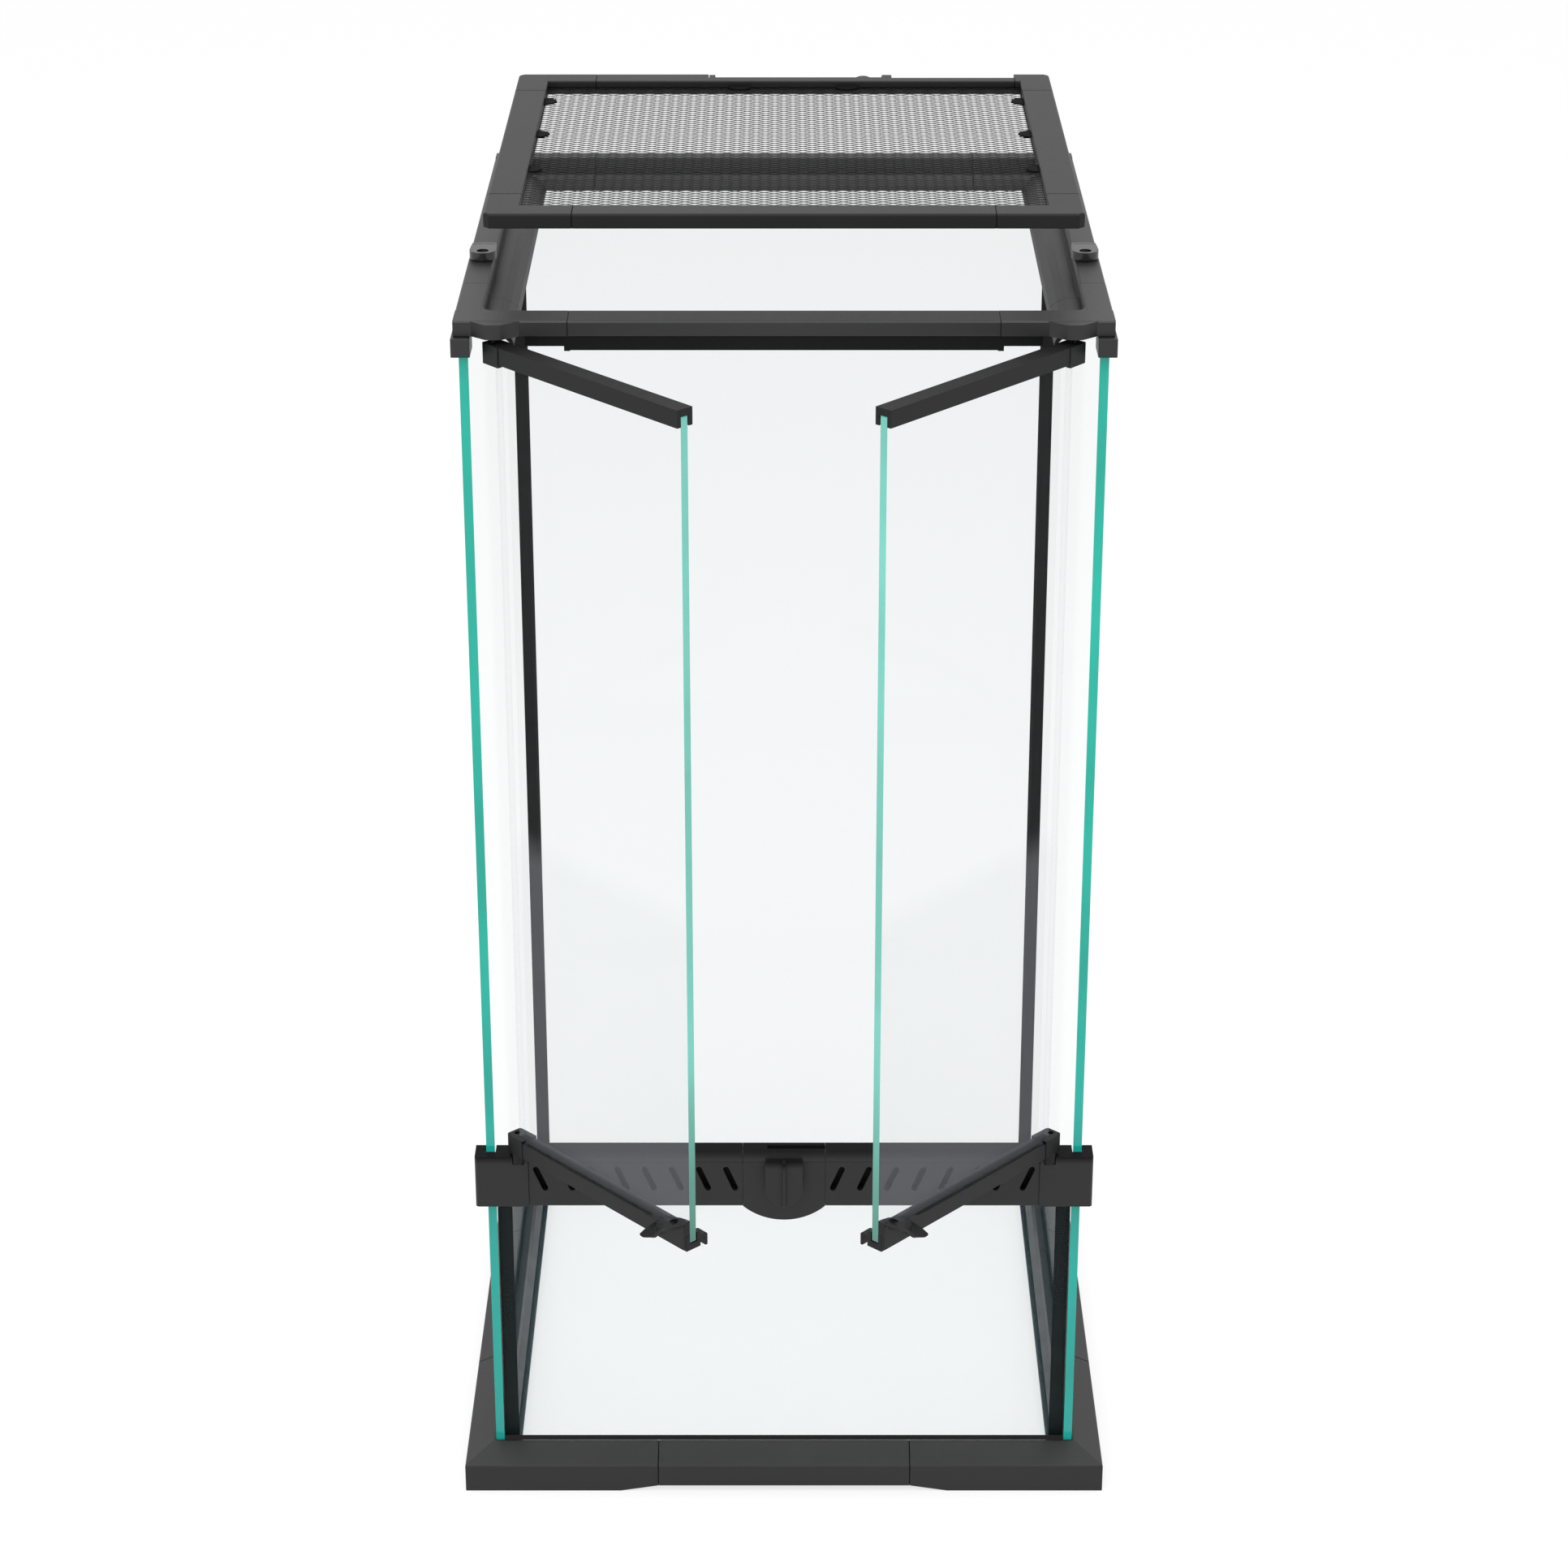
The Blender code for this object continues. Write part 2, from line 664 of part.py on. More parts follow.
def clear_outside(piece, x_side, parent):
    """Takes away what would hang below the rail outside the panes."""
    floor = SKIRT_BOTTOM - OVERRUN
    roof = HEIGHT - RAIL_FACE + SKIM
    inner = x_side * (HALF_X - TOP_CORNER_REACH_X - OVERRUN)
    outer = x_side * (HALF_X + OVERRUN)
    low = (min(inner, outer), REAR_GLASS_Y, floor)
    high = (max(inner, outer), HALF_Y + OVERRUN, roof)
    cut_from(piece, box(f"{piece.name}_rear_clearing", low, high, parent))
    inner = x_side * GLASS_X
    low = (min(inner, outer), HALF_Y - TOP_CORNER_REACH_Y - OVERRUN, floor)
    high = (max(inner, outer), HALF_Y + OVERRUN, roof)
    cut_from(piece, box(f"{piece.name}_side_clearing", low, high, parent))


def top_frame(parent):
    for x_name, x_side in SIDES:
        front_corner(x_name, x_side, parent)
        rear_corner(x_name, x_side, parent)
        profile = skirted_profile(
            SIDE_RAIL, SIDE_SKIRT, HALF_X - GLASS_X - GAP, HALF_X - INNER_X + GAP
        )
        run = inset_run(profile, HALF_X, x_side)
        half = HALF_Y - TOP_CORNER_REACH_Y - GAP
        rail = prism(f"top_bar_{x_name}", run, "Y", -half, half, parent, plastic)
        cut_from(rail, latch_bore(x_name, x_side, parent))
    half = HALF_X - TOP_CORNER_REACH_X - GAP
    run = inset_run(front_profile(), HALF_Y, -1)
    prism("top_bar_front", run, "X", -half, half, parent, plastic)
    profile = skirted_profile(
        REAR_RAIL, REAR_SKIRT, HALF_Y - REAR_GLASS_Y - GAP, HALF_Y - REAR_INNER + GAP
    )
    run = inset_run(profile, HALF_Y, 1)
    prism("top_bar_rear", run, "X", -half, half, parent, plastic)
    door_stop(parent)
    for x_name, x_side in SIDES:
        glass_cap(x_name, x_side, parent)


def door_stop(parent):
    """The lower rail that the closed doors rest against, with a lug near each end."""
    top = HEIGHT - RAIL_FACE - GAP
    bottom = top - STOP_DROP
    lug = STOP_HALF + STOP_LUG
    tail = lug + STOP_TAIL
    half = [
        (STOP_HALF, bottom),
        (STOP_HALF, bottom - STOP_LUG_DROP),
        (lug, bottom - STOP_LUG_DROP),
        (lug, bottom + STOP_TAIL_RISE),
        (tail, bottom + STOP_TAIL_RISE),
        (tail, top),
    ]
    outline = half + [(-across, up) for across, up in reversed(half)]
    front = -HALF_Y + CHANNEL_WIDE / 2 + STOP_DOOR_ROOM
    prism("door_stop", outline, "Y", front, front + STOP_DEPTH, parent, plastic)


def glass_cap(x_name, x_side, parent):
    """A block that wraps the top of a side pane's front edge."""
    outer = GLASS_X + GAP
    inner = INNER_X - GAP
    front = SIDE_GLASS_FRONT - GAP
    rear = -HALF_Y + CAP_LENGTH
    outline = [
        (outer + CAP_WALL, -HALF_Y - CAP_FRONT),
        (inner - CAP_INNER_WALL, -HALF_Y - CAP_FRONT),
        (inner - CAP_INNER_WALL, rear),
        (inner, rear),
        (inner, front),
        (outer, front),
        (outer, rear),
        (outer + CAP_WALL, rear),
    ]
    top = HEIGHT - RAIL_FACE - SKIM / 2 - GAP
    name = f"glass_cap_{x_name}"
    prism(name, flipped(outline, x_side), "Z", top - CAP_HEIGHT, top, parent, plastic)


# Cover latches


def latch_place(x_side):
    return (x_side * (HALF_X - LATCH_PIVOT_INSET), -HALF_Y + LATCH_FROM_FRONT)


def latch_bore(x_name, x_side, parent):
    bore = disc(latch_place(x_side), LATCH_PIN + GAP, 16)
    depth = LATCH_PIN_LONG + GAP
    return prism(f"latch_bore_{x_name}", bore, "Z", HEIGHT - depth, HEIGHT + OVERRUN, parent)


def latch(x_name, x_side, parent):
    """A swivel catch: its round front end, with a finger dimple, swings in over the cover."""
    across, along = latch_place(x_side)
    pivot = empty(f"latch_{x_name}_pivot", (across, along, HEIGHT), parent)
    middle = (LATCH_OUTER - LATCH_INNER) / 2
    radius = (LATCH_OUTER + LATCH_INNER) / 2
    nose = arc((middle, radius - LATCH_AHEAD), radius, 180, 360, 10)
    back = [(middle + radius * 0.9, LATCH_BEHIND - 0.001), (middle, LATCH_BEHIND)]
    back += [(middle - radius * 0.9, LATCH_BEHIND - 0.001)]
    name = f"cover_latch_{x_name}"
    outline = flipped(nose + back, x_side)
    head = prism(name, outline, "Z", LATCH_LIFT, LATCH_LIFT + LATCH_THICK, pivot, plastic)
    pin = prism(f"{name}_pin", disc((0, 0), LATCH_PIN, 16), "Z", -LATCH_PIN_LONG, 0.002, pivot)
    add_to(head, pin)
    top = LATCH_LIFT + LATCH_THICK
    dimple = (x_side * middle, LATCH_DIMPLE * 1.6 - LATCH_AHEAD)
    low = top - LATCH_DIMPLE_DEEP
    cut_from(head, prism(f"{name}_dimple", disc(dimple, LATCH_DIMPLE, 14), "Z", low, 0.01, pivot))
    cut_from(head, latch_groove(f"{name}_groove", middle, radius, x_side, top, pivot))
    return head


def latch_groove(name, middle, radius, x_side, top, pivot):
    """A fine bent groove across the catch's top, alongside its rear edge."""
    rear = LATCH_BEHIND - LATCH_GROOVE_INSET
    half = radius * 0.8
    bend = 0.0012
    outline = [(middle - half, rear - bend), (middle, rear), (middle + half, rear - bend)]
    back = [(across, along - LATCH_GROOVE) for across, along in reversed(outline)]
    return prism(name, flipped(outline + back, x_side), "Z", top - LATCH_GROOVE, top + 0.002, pivot)


# Doors


def door_channel(name, low, high, opens_up, side, parent):
    """A U channel on the glass edge, with the hinge block at its start."""
    half = CHANNEL_WIDE / 2
    start = BLOCK_REACH - 0.002
    outline = rectangle(start, -half, DOOR_LENGTH, half)
    piece = prism(name, flipped(outline, side), "Z", low, high, parent, plastic)
    proud = half + BLOCK_PROUD
    round_off = BLOCK_NOSE - 2 * LAP
    knuckle = arc((-round_off, round_off - proud), 2 * LAP, 180, 270, 3)
    knuckle += [(BLOCK_REACH, -proud), (BLOCK_REACH, proud)]
    knuckle += arc((-round_off, proud - round_off), 2 * LAP, 90, 180, 3)
    block_low = low if opens_up else low - 0.002
    block_high = high + 0.002 if opens_up else high
    block = prism(f"{name}_block", flipped(knuckle, side), "Z", block_low, block_high, parent)
    add_to(piece, block)
    if opens_up:
        boss = disc((0, 0), BOSS_RADIUS, 24)
        add_to(piece, prism(f"{name}_boss", boss, "Z", BOSS_BOTTOM, low + 0.001, parent))
    bite_low = high - CHANNEL_BITE if opens_up else low - 0.01
    bite_high = high + 0.01 if opens_up else low + CHANNEL_BITE
    glass_half = DOOR_GLASS / 2 + GAP
    outline = rectangle(DOOR_GLASS_START - GAP, -glass_half, DOOR_LENGTH + 0.01, glass_half)
    cut_from(piece, prism(f"{name}_slot", flipped(outline, side), "Z", bite_low, bite_high, parent))
    bore = disc((0, 0), PIN_RADIUS + GAP, 16)
    cut_from(piece, prism(f"{name}_bore", bore, "Z", BOSS_BOTTOM - 0.01, high + 0.01, parent))
    return piece


def door_catch(name, side, parent):
    """A hook behind the free end, which the lock's cam holds once it is turned up."""
    back = CAM_BACK + 2 * GAP + CATCH_THICK
    bridge = KNOB_Z + CAM_REACH + 2 * GAP
    foot = VENT_TOP + 2 * GAP
    top = bridge + CATCH_BRIDGE
    near = CHANNEL_WIDE / 2 - LAP
    outline = [(near, bridge), (back - CATCH_THICK, bridge), (back - CATCH_THICK, foot), (back, foot)]
    outline += arc((back - CATCH_ROUND, top - CATCH_ROUND), CATCH_ROUND, 0, 90, 4)
    outline += [(near, top)]
    ends = (side * (DOOR_LENGTH - CATCH_LONG), side * (DOOR_LENGTH - SKIM))
    return prism(name, outline, "X", min(ends), max(ends), parent)


def smooth_row(points, steps):
    """More points between the given ones, on a smooth curve through all of them."""
    row = []
    for place in range(len(points) - 1):
        before = Vector(points[max(place - 1, 0)])
        here = Vector(points[place])
        there = Vector(points[place + 1])
        after = Vector(points[min(place + 2, len(points) - 1)])
        for step in range(steps):
            t = step / steps
            pull = here * 2 + (there - before) * t
            pull += (before * 2 - here * 5 + there * 4 - after) * t ** 2
            pull += (here * 3 - before - there * 3 + after) * t ** 3
            row.append(pull / 2)
    return row + [Vector(points[-1])]


def door_lever(name, side, parent):
    """A crowned leaf over the channel's end that bends out and down into a round lip for a finger.

    Its points are distances back from the free end, out from the door's middle plane and up from
    the door's lower edge, first along its ridge and then along its outer edge. The third row is
    the way to its inner face, in shares of its thickness.
    """
    near_glass = DOOR_GLASS / 2 + GAP + SKIM
    ridge = [
        (0.0, near_glass, 0.0236),
        (0.0101, near_glass, 0.0219),
        (0.0207, near_glass, 0.0178),
        (0.0270, 0.0045, 0.0156),
        (0.0272, 0.0099, 0.0146),
        (0.0277, 0.0149, 0.0134),
        (0.0305, 0.0179, 0.0101),
        (0.0350, 0.0192, 0.0045),
    ]
    edge = [
        (0.0, 0.0085, 0.0228),
        (0.0034, 0.0102, 0.0204),
        (0.0094, 0.0120, 0.0176),
        (0.0173, 0.0125, 0.0136),
        (0.0218, 0.0132, 0.0106),
        (0.0254, 0.0138, 0.0058),
        (0.0283, 0.0145, 0.0026),
        (0.0326, 0.0180, 0.0022),
    ]
    inward = [
        (0, 0, -1),
        (0, 0, -1),
        (0, 0, -1),
        (-0.1, -0.2, -1),
        (-0.3, -0.5, -0.8),
        (-0.5, -0.7, -0.5),
        (-0.6, -0.8, -0.2),
        (-0.6, -0.7, 0.1),
    ]
    rows = [smooth_row(points, LEVER_STEPS) for points in (ridge, edge, inward)]
    rings = []
    for upper, outer, way in zip(*rows):
        depth = way * LEVER_THICK
        crown = (upper + outer) / 2 - depth * LEVER_CROWN
        hollow = (upper + outer) / 2 + depth
        section = (upper, crown, outer, outer + depth, hollow, upper + depth)
        rings.append(
            [(side * (DOOR_LENGTH - p.x), -p.y, DOOR_BOTTOM + p.z) for p in section]
        )
    shape = bmesh.new()
    add_loft(shape, rings)
    return object_from(name, shape, parent, plastic)


def door_pull(name, side, parent):
    """The finger pull at the free end: a wedge in front of the channel's end, with a bent lever on it."""
    lever = door_lever(name, side, parent)
    front = CHANNEL_WIDE / 2 + GAP
    low = DOOR_BOTTOM + PULL_RISE
    top = DOOR_BOTTOM + PULL_TALL - LEVER_THICK
    end = DOOR_LENGTH
    outline = [
        (end, low),
        (end, top),
        (end - 0.25 * PULL_LONG, top - 0.0020),
        (end - 0.55 * PULL_LONG, top - 0.0078),
        (end - 0.75 * PULL_LONG, top - 0.0130),
        (end - PULL_LONG, low + 0.0020),
        (end - PULL_LONG, low),
    ]
    wedge = prism(f"{name}_wedge", flipped(outline, side), "Y", -front - PULL_PROUD, -front, parent)
    add_to(lever, wedge)
    over = DOOR_BOTTOM + CHANNEL_TALL + GAP
    outline = [(end, over), (end, top), (end - 0.25 * PULL_LONG, top - 0.0020)]
    outline += [(end - 0.50 * PULL_LONG, over)]
    near_glass = DOOR_GLASS / 2 + GAP + SKIM
    rib = prism(f"{name}_rib", flipped(outline, side), "Y", -front - LAP / 2, -near_glass, parent)
    add_to(lever, rib)
    middle = (end - DIMPLE_BACK, -DIMPLE_OUT)
    dimple = [
        (side * (middle[0] + across * DIMPLE_STRETCH), middle[1] + along)
        for across, along in disc((0, 0), DIMPLE_RADIUS, 16)
    ]
    low = DOOR_BOTTOM + DIMPLE_FLOOR
    tool = prism(f"{name}_dimple", dimple, "Z", low, low + OVERRUN, parent)
    cut_from(lever, tool)
    return lever


def door(x_name, x_side, parent):
    """Built closed, along X from its hinge, then turned open by its pivot."""
    turn = x_side * DOOR_OPEN
    pivot = empty(f"door_{x_name}_pivot", (x_side * HINGE_X, HINGE_Y, 0), parent, turn)
    side = -x_side
    low_channel_top = DOOR_BOTTOM + CHANNEL_TALL
    glass_low = low_channel_top - CHANNEL_BITE + GAP
    glass_high = DOOR_TOP - CHANNEL_TALL + CHANNEL_BITE - GAP
    half = DOOR_GLASS / 2
    outline = flipped(rectangle(DOOR_GLASS_START, -half, DOOR_LENGTH - 0.0007, half), side)
    name = f"door_{x_name}"
    prism(f"{name}_glass", outline, "Z", glass_low, glass_high, pivot, clear_glass)
    lower = door_channel(f"{name}_lower_channel", DOOR_BOTTOM, low_channel_top, True, side, pivot)
    add_to(lower, door_catch(f"{name}_catch", side, pivot))
    low = DOOR_TOP - CHANNEL_TALL
    door_channel(f"{name}_upper_channel", low, DOOR_TOP, False, side, pivot)
    round_pin = disc((0, 0), PIN_RADIUS, 16)
    low = DOOR_TOP - CHANNEL_TALL
    prism(f"{name}_upper_pin", round_pin, "Z", low, DOOR_TOP + PIN_BITE, pivot, plastic)
    low = BOSS_BOTTOM - PIN_BITE
    prism(f"{name}_lower_pin", round_pin, "Z", low, low_channel_top, pivot, plastic)
    door_pull(f"{name}_pull", side, pivot)


# Vent bar and lock


def vent_profile(back_gap):
    """A hollow bar: its rear wall stops short of the top by this gap, which lets the air through."""
    front = -HALF_Y - VENT_FRONT
    rear = front + VENT_DEPTH
    wall = VENT_WALL
    clip = VENT_BOTTOM + VENT_CLIP
    lip = VENT_TOP - wall - back_gap
    return [
        (front, VENT_BOTTOM + 0.0008),
        (front, VENT_FACE_TOP),
        (front + 0.24 * VENT_DEPTH, VENT_FACE_TOP + 0.46 * VENT_RISE),
        (front + 0.56 * VENT_DEPTH, VENT_FACE_TOP + 0.80 * VENT_RISE),
        (rear, VENT_TOP),
        (rear, VENT_TOP - wall),
        (front + 0.60 * VENT_DEPTH, VENT_FACE_TOP + 0.80 * VENT_RISE - wall),
        (front + 0.32 * VENT_DEPTH, VENT_FACE_TOP + 0.40 * VENT_RISE - wall),
        (front + wall, VENT_FACE_TOP - 0.001),
        (front + wall, clip + wall),
        (rear - wall, clip + wall),
        (rear - wall, lip),
        (rear, lip),
        (rear, VENT_BOTTOM),
        (FRONT_INNER + GAP, VENT_BOTTOM),
        (FRONT_INNER + GAP, clip),
        (FRONT_GLASS_Y - GAP, clip),
        (FRONT_GLASS_Y - GAP, VENT_BOTTOM),
        (front + 0.0008, VENT_BOTTOM),
    ]


def slot_tool(name, x_side, parent):
    """The leaning air slots of one vent section, as one cutter."""
    shape = bmesh.new()
    half = SLOT_WIDE / 2
    lean = math.degrees(math.atan2(SLOT_LEAN, SLOT_HIGH - SLOT_LOW))
    for number in range(SLOT_COUNT):
        top = SLOT_FIRST + number * SLOT_PITCH + SLOT_LEAN / 2
        upper = (top, SLOT_HIGH - half)
        lower = (top - SLOT_LEAN, SLOT_LOW + half)
        outline = arc(upper, half, -lean, 180 - lean, 4) + arc(lower, half, 180 - lean, 360 - lean, 4)
        start = -HALF_Y - VENT_FRONT - 0.01
        add_prism(shape, flipped(outline, x_side), "Y", start, start + 0.01 + VENT_WALL + 0.002)
    return object_from(name, shape, parent)


def vent_section(x_name, x_side, parent):
    near = x_side * (LOCK_HALF + GAP)
    far = x_side * (END_INNER_X - GAP)
    name = f"vent_bar_{x_name}"
    piece = prism(name, vent_profile(VENT_BACK_GAP), "X", min(near, far), max(near, far), parent, plastic)
    cut_from(piece, slot_tool(f"{name}_slots", x_side, parent))
    return piece


def vent_end(x_name, x_side, parent):
    """The block that wraps a side pane's front edge and carries a door's lower pin."""
    front = -HALF_Y - VENT_FRONT - END_PROUD
    rear = front + VENT_DEPTH + END_PROUD
    inner = END_INNER_X
    outer = GLASS_X + END_OUT
    name = f"vent_end_{x_name}"
    outline = [
        (inner, front),
        (outer - 0.0015, front),
        (outer, front + 0.0015),
        (outer, rear),
        (inner, rear),
    ]
    top = VENT_END_TOP
    piece = prism(name, flipped(outline, x_side), "Z", VENT_BOTTOM, top, parent, plastic)
    sides = (x_side * (INNER_X - GAP), x_side * (GLASS_X + GAP))
    low = (min(sides), SIDE_GLASS_FRONT - GAP, VENT_BOTTOM - 0.01)
    high = (max(sides), rear + 0.01, top + 0.01)
    cut_from(piece, box(f"{name}_side_groove", low, high, parent))
    sides = (x_side * (inner - 0.001), x_side * (INNER_X + 0.0005))
    low = (min(sides), FRONT_GLASS_Y - GAP, VENT_BOTTOM - 0.01)
    high = (max(sides), FRONT_INNER + GAP, VENT_BOTTOM + VENT_CLIP)
    cut_from(piece, box(f"{name}_front_groove", low, high, parent))
    hinge = (x_side * HINGE_X, HINGE_Y)
    pocket = disc(hinge, BOSS_RADIUS + BOSS_ROOM, 24)
    floor = BOSS_BOTTOM - BOSS_ROOM
    cut_from(piece, prism(f"{name}_pocket", pocket, "Z", floor, DOOR_BOTTOM + 0.01, parent))
    bore = disc(hinge, PIN_RADIUS + GAP, 16)
    floor = BOSS_BOTTOM - PIN_BITE - GAP
    cut_from(piece, prism(f"{name}_bore", bore, "Z", floor, DOOR_BOTTOM + 0.01, parent))
    return piece


def lock_housing(parent):
    """The middle of the vent bar: its own section of the same profile with a rounded belly below."""
    front = -HALF_Y - VENT_FRONT
    half = LOCK_HALF
    piece = prism("lock_housing", vent_profile(LOCK_BACK_GAP), "X", -half, half, parent, plastic)
    belly_radius = (half * half + LOCK_BELLY * LOCK_BELLY) / (2 * LOCK_BELLY)
    centre = (0, VENT_BOTTOM - LOCK_BELLY + belly_radius)
    reach = math.degrees(math.asin(half / belly_radius))
    outline = arc(centre, belly_radius, 270 - reach, 270 + reach, 16)
    outline += [(half, VENT_BOTTOM + 0.004), (-half, VENT_BOTTOM + 0.004)]
    add_to(piece, prism("lock_housing_belly", outline, "Y", front, front + VENT_WALL, parent))
    bore = disc((0, KNOB_Z), SPINDLE_RADIUS + GAP, 20)
    tool = prism("lock_housing_bore", bore, "Y", front - 0.01, front + VENT_WALL + 0.002, parent)
    cut_from(piece, tool)
    room = 2 * GAP
    sweep = math.hypot(CAM_REACH, CAM_HALF)
    low = (-CAM_HALF - room, -HALF_Y + CAM_BACK - CAM_THICK - room, VENT_FACE_TOP - VENT_WALL)
    high = (sweep + room, -HALF_Y + CAM_BACK + room, VENT_TOP + 0.01)
    cut_from(piece, box("lock_housing_cam_slot", low, high, parent))
    return piece


def knob_outline():
    """Square-shouldered above and drawn to a point below."""
    half = KNOB_HALF
    top = KNOB_TALL / 2
    radius = KNOB_SHOULDER
    shoulder = arc((half - radius, top - radius), radius, 0, 90, 4)
    outline = shoulder + [(-across, up) for across, up in reversed(shoulder)]
    ogive = []
    for step in range(7):
        share = step / 7
        ogive.append((-half * (1 - share ** 3), -top * (0.15 + 0.85 * share)))
    outline += ogive
    outline += [(0, -top)]
    outline += [(-across, up) for across, up in reversed(ogive)]
    return outline


def within(outline, radius):
    """Pulls an outline's far points in to this radius."""
    return [
        (across * min(1, radius / math.hypot(across, up)), up * min(1, radius / math.hypot(across, up)))
        for across, up in outline
    ]


def knob_grip(front, back, pivot):
    """A thin fin down the knob's middle, with a stouter nub at its upper end."""
    top = KNOB_TALL / 2
    half = KNOB_FIN_HALF
    fin = [
        (back, -top + 0.002),
        (back, top - 0.0015),
        (front, top - 0.0025),
        (front, -top + 0.005),
        (front + 0.4 * KNOB_FIN, -top + 0.002),
    ]
    fin = prism("lock_knob_fin", fin, "X", -half * 0.6, half * 0.6, pivot)
    nub = [
        (back, top - 0.001),
        (front - 0.0006, top - 0.0022),
        (front - 0.0006, top - KNOB_NUB_TALL + 0.001),
        (back, top - KNOB_NUB_TALL),
    ]
    nub = prism("lock_knob_nub", nub, "X", -half, half, pivot)
    return fin, nub


def lock(parent):
    """The knob with its spindle, and the cam that it turns behind the housing's face."""
    pivot = empty("lock_pivot", (0, -HALF_Y, KNOB_Z), parent)
    back = -KNOB_BACK
    face = back - KNOB_PLATE
    knob = prism("lock_knob", knob_outline(), "Y", face, back, pivot, plastic)
    core = within(knob_outline(), DOOR_BOTTOM - KNOB_Z - 2 * GAP)
    core_back = -VENT_FRONT - 2 * GAP
    add_to(knob, prism("lock_knob_core", core, "Y", back - 0.001, core_back, pivot))
    for tool in knob_grip(face - KNOB_FIN, face + 0.001, pivot):
        add_to(knob, tool)
    spindle = disc((0, 0), SPINDLE_RADIUS, 20)
    cam_front = CAM_BACK - CAM_THICK
    add_to(knob, prism("lock_spindle", spindle, "Y", core_back - 0.001, CAM_BACK + GAP, pivot))
    outline = arc((0, 0), 0.0095, 90, 270, 8)
    outline += [(CAM_REACH * 0.45, -CAM_HALF), (CAM_REACH - 0.002, -CAM_HALF)]
    outline += [(CAM_REACH, 0.002 - CAM_HALF), (CAM_REACH, CAM_HALF - 0.002)]
    outline += [(CAM_REACH - 0.002, CAM_HALF), (CAM_REACH * 0.45, CAM_HALF)]
    cam = prism("lock_cam", outline, "Y", cam_front, CAM_BACK, pivot, plastic)
    bore = disc((0, 0), SPINDLE_RADIUS + GAP, 20)
    cut_from(cam, prism("lock_cam_bore", bore, "Y", cam_front - 0.01, CAM_BACK + 0.01, pivot))


# Screen cover


def cover_profile():
    groove_top = COVER_TOP - MESH_DROP + GAP
    groove_low = COVER_TOP - MESH_DROP - MESH_THICK - GAP
    inner = COVER_BAR
    return [
        (0, COVER_TOP - COVER_THICK),
        (0, COVER_TOP - 0.0012),
        (0.0012, COVER_TOP),
        (inner - 0.0008, COVER_TOP),
        (inner, COVER_TOP - 0.0008),
        (inner, groove_top),
        (inner - COVER_GROOVE, groove_top),
        (inner - COVER_GROOVE, groove_low),
        (inner, groove_low),
        (inner, COVER_TOP - COVER_THICK),
    ]


def cover_corner(name, x_side, y_side, reach_x, parent):
    """A mitred corner whose outer upright edge is cut off."""
    profile = cover_profile()
    end_x = COVER_X - reach_x
    end_y = COVER_Y - COVER_CORNER_Y
    rings = [[], [], [], []]
    for inset, height in profile:
        turn = max(inset, COVER_ROUND)
        rings[0].append((x_side * end_x, y_side * (COVER_Y - inset), height))
        rings[1].append((x_side * (COVER_X - turn), y_side * (COVER_Y - inset), height))
        rings[2].append((x_side * (COVER_X - inset), y_side * (COVER_Y - turn), height))
        rings[3].append((x_side * (COVER_X - inset), y_side * end_y, height))
    shape = bmesh.new()
    add_loft(shape, rings)
    bmesh.ops.remove_doubles(shape, verts=shape.verts, dist=1e-6)
    return object_from(name, shape, parent, plastic)


def cover_mesh(parent):
    """Expanded metal: a sheet of diamonds, each with a diamond opening."""
    cell_x = (COVER_X - COVER_BAR + COVER_GROOVE - GAP) / MESH_COLUMNS
    cell_y = (COVER_Y - COVER_BAR + COVER_GROOVE - GAP) / MESH_ROWS
    opening_x = 1 - MESH_STRAND * MESH_TIP / cell_x
    opening_y = 1 - MESH_STRAND * MESH_FLANK / cell_y
    top = COVER_TOP - MESH_DROP
    corners = ((1, 0), (0, 1), (-1, 0), (0, -1))
    shape = bmesh.new()
    points = {}
    edges = {}

    def point(column, row, level):
        """A point of the net, counted in cells, on its upper face at level 0 and its lower at 1."""
        key = (column, row, level)
        if key not in points:
            place = (column * cell_x, row * cell_y, top - level * MESH_THICK)
            points[key] = shape.verts.new(place)
        return points[key]

    for row in range(-MESH_ROWS + 1, MESH_ROWS):
        for column in range(-MESH_COLUMNS + 1, MESH_COLUMNS):
            if (row + column) % 2 == 0:
                continue
            outer = [(column + a, row + b) for a, b in corners]
            inner = [(column + a * opening_x, row + b * opening_y) for a, b in corners]
            for here in range(4):
                there = (here + 1) % 4
                face = (outer[here], outer[there], inner[there], inner[here])
                for level in (0, 1):
                    shape.faces.new([point(*place, level) for place in face])
                add_wall(shape, point, inner[here], inner[there])
                key = tuple(sorted((outer[here], outer[there])))
                edges.setdefault(key, []).append((outer[here], outer[there]))
    for shared in edges.values():
        if len(shared) == 1:
            add_wall(shape, point, *shared[0])
    return object_from("cover_mesh", shape, parent, coated_wire)


def add_wall(shape, point, here, there):
    shape.faces.new((point(*here, 0), point(*there, 0), point(*there, 1), point(*here, 1)))


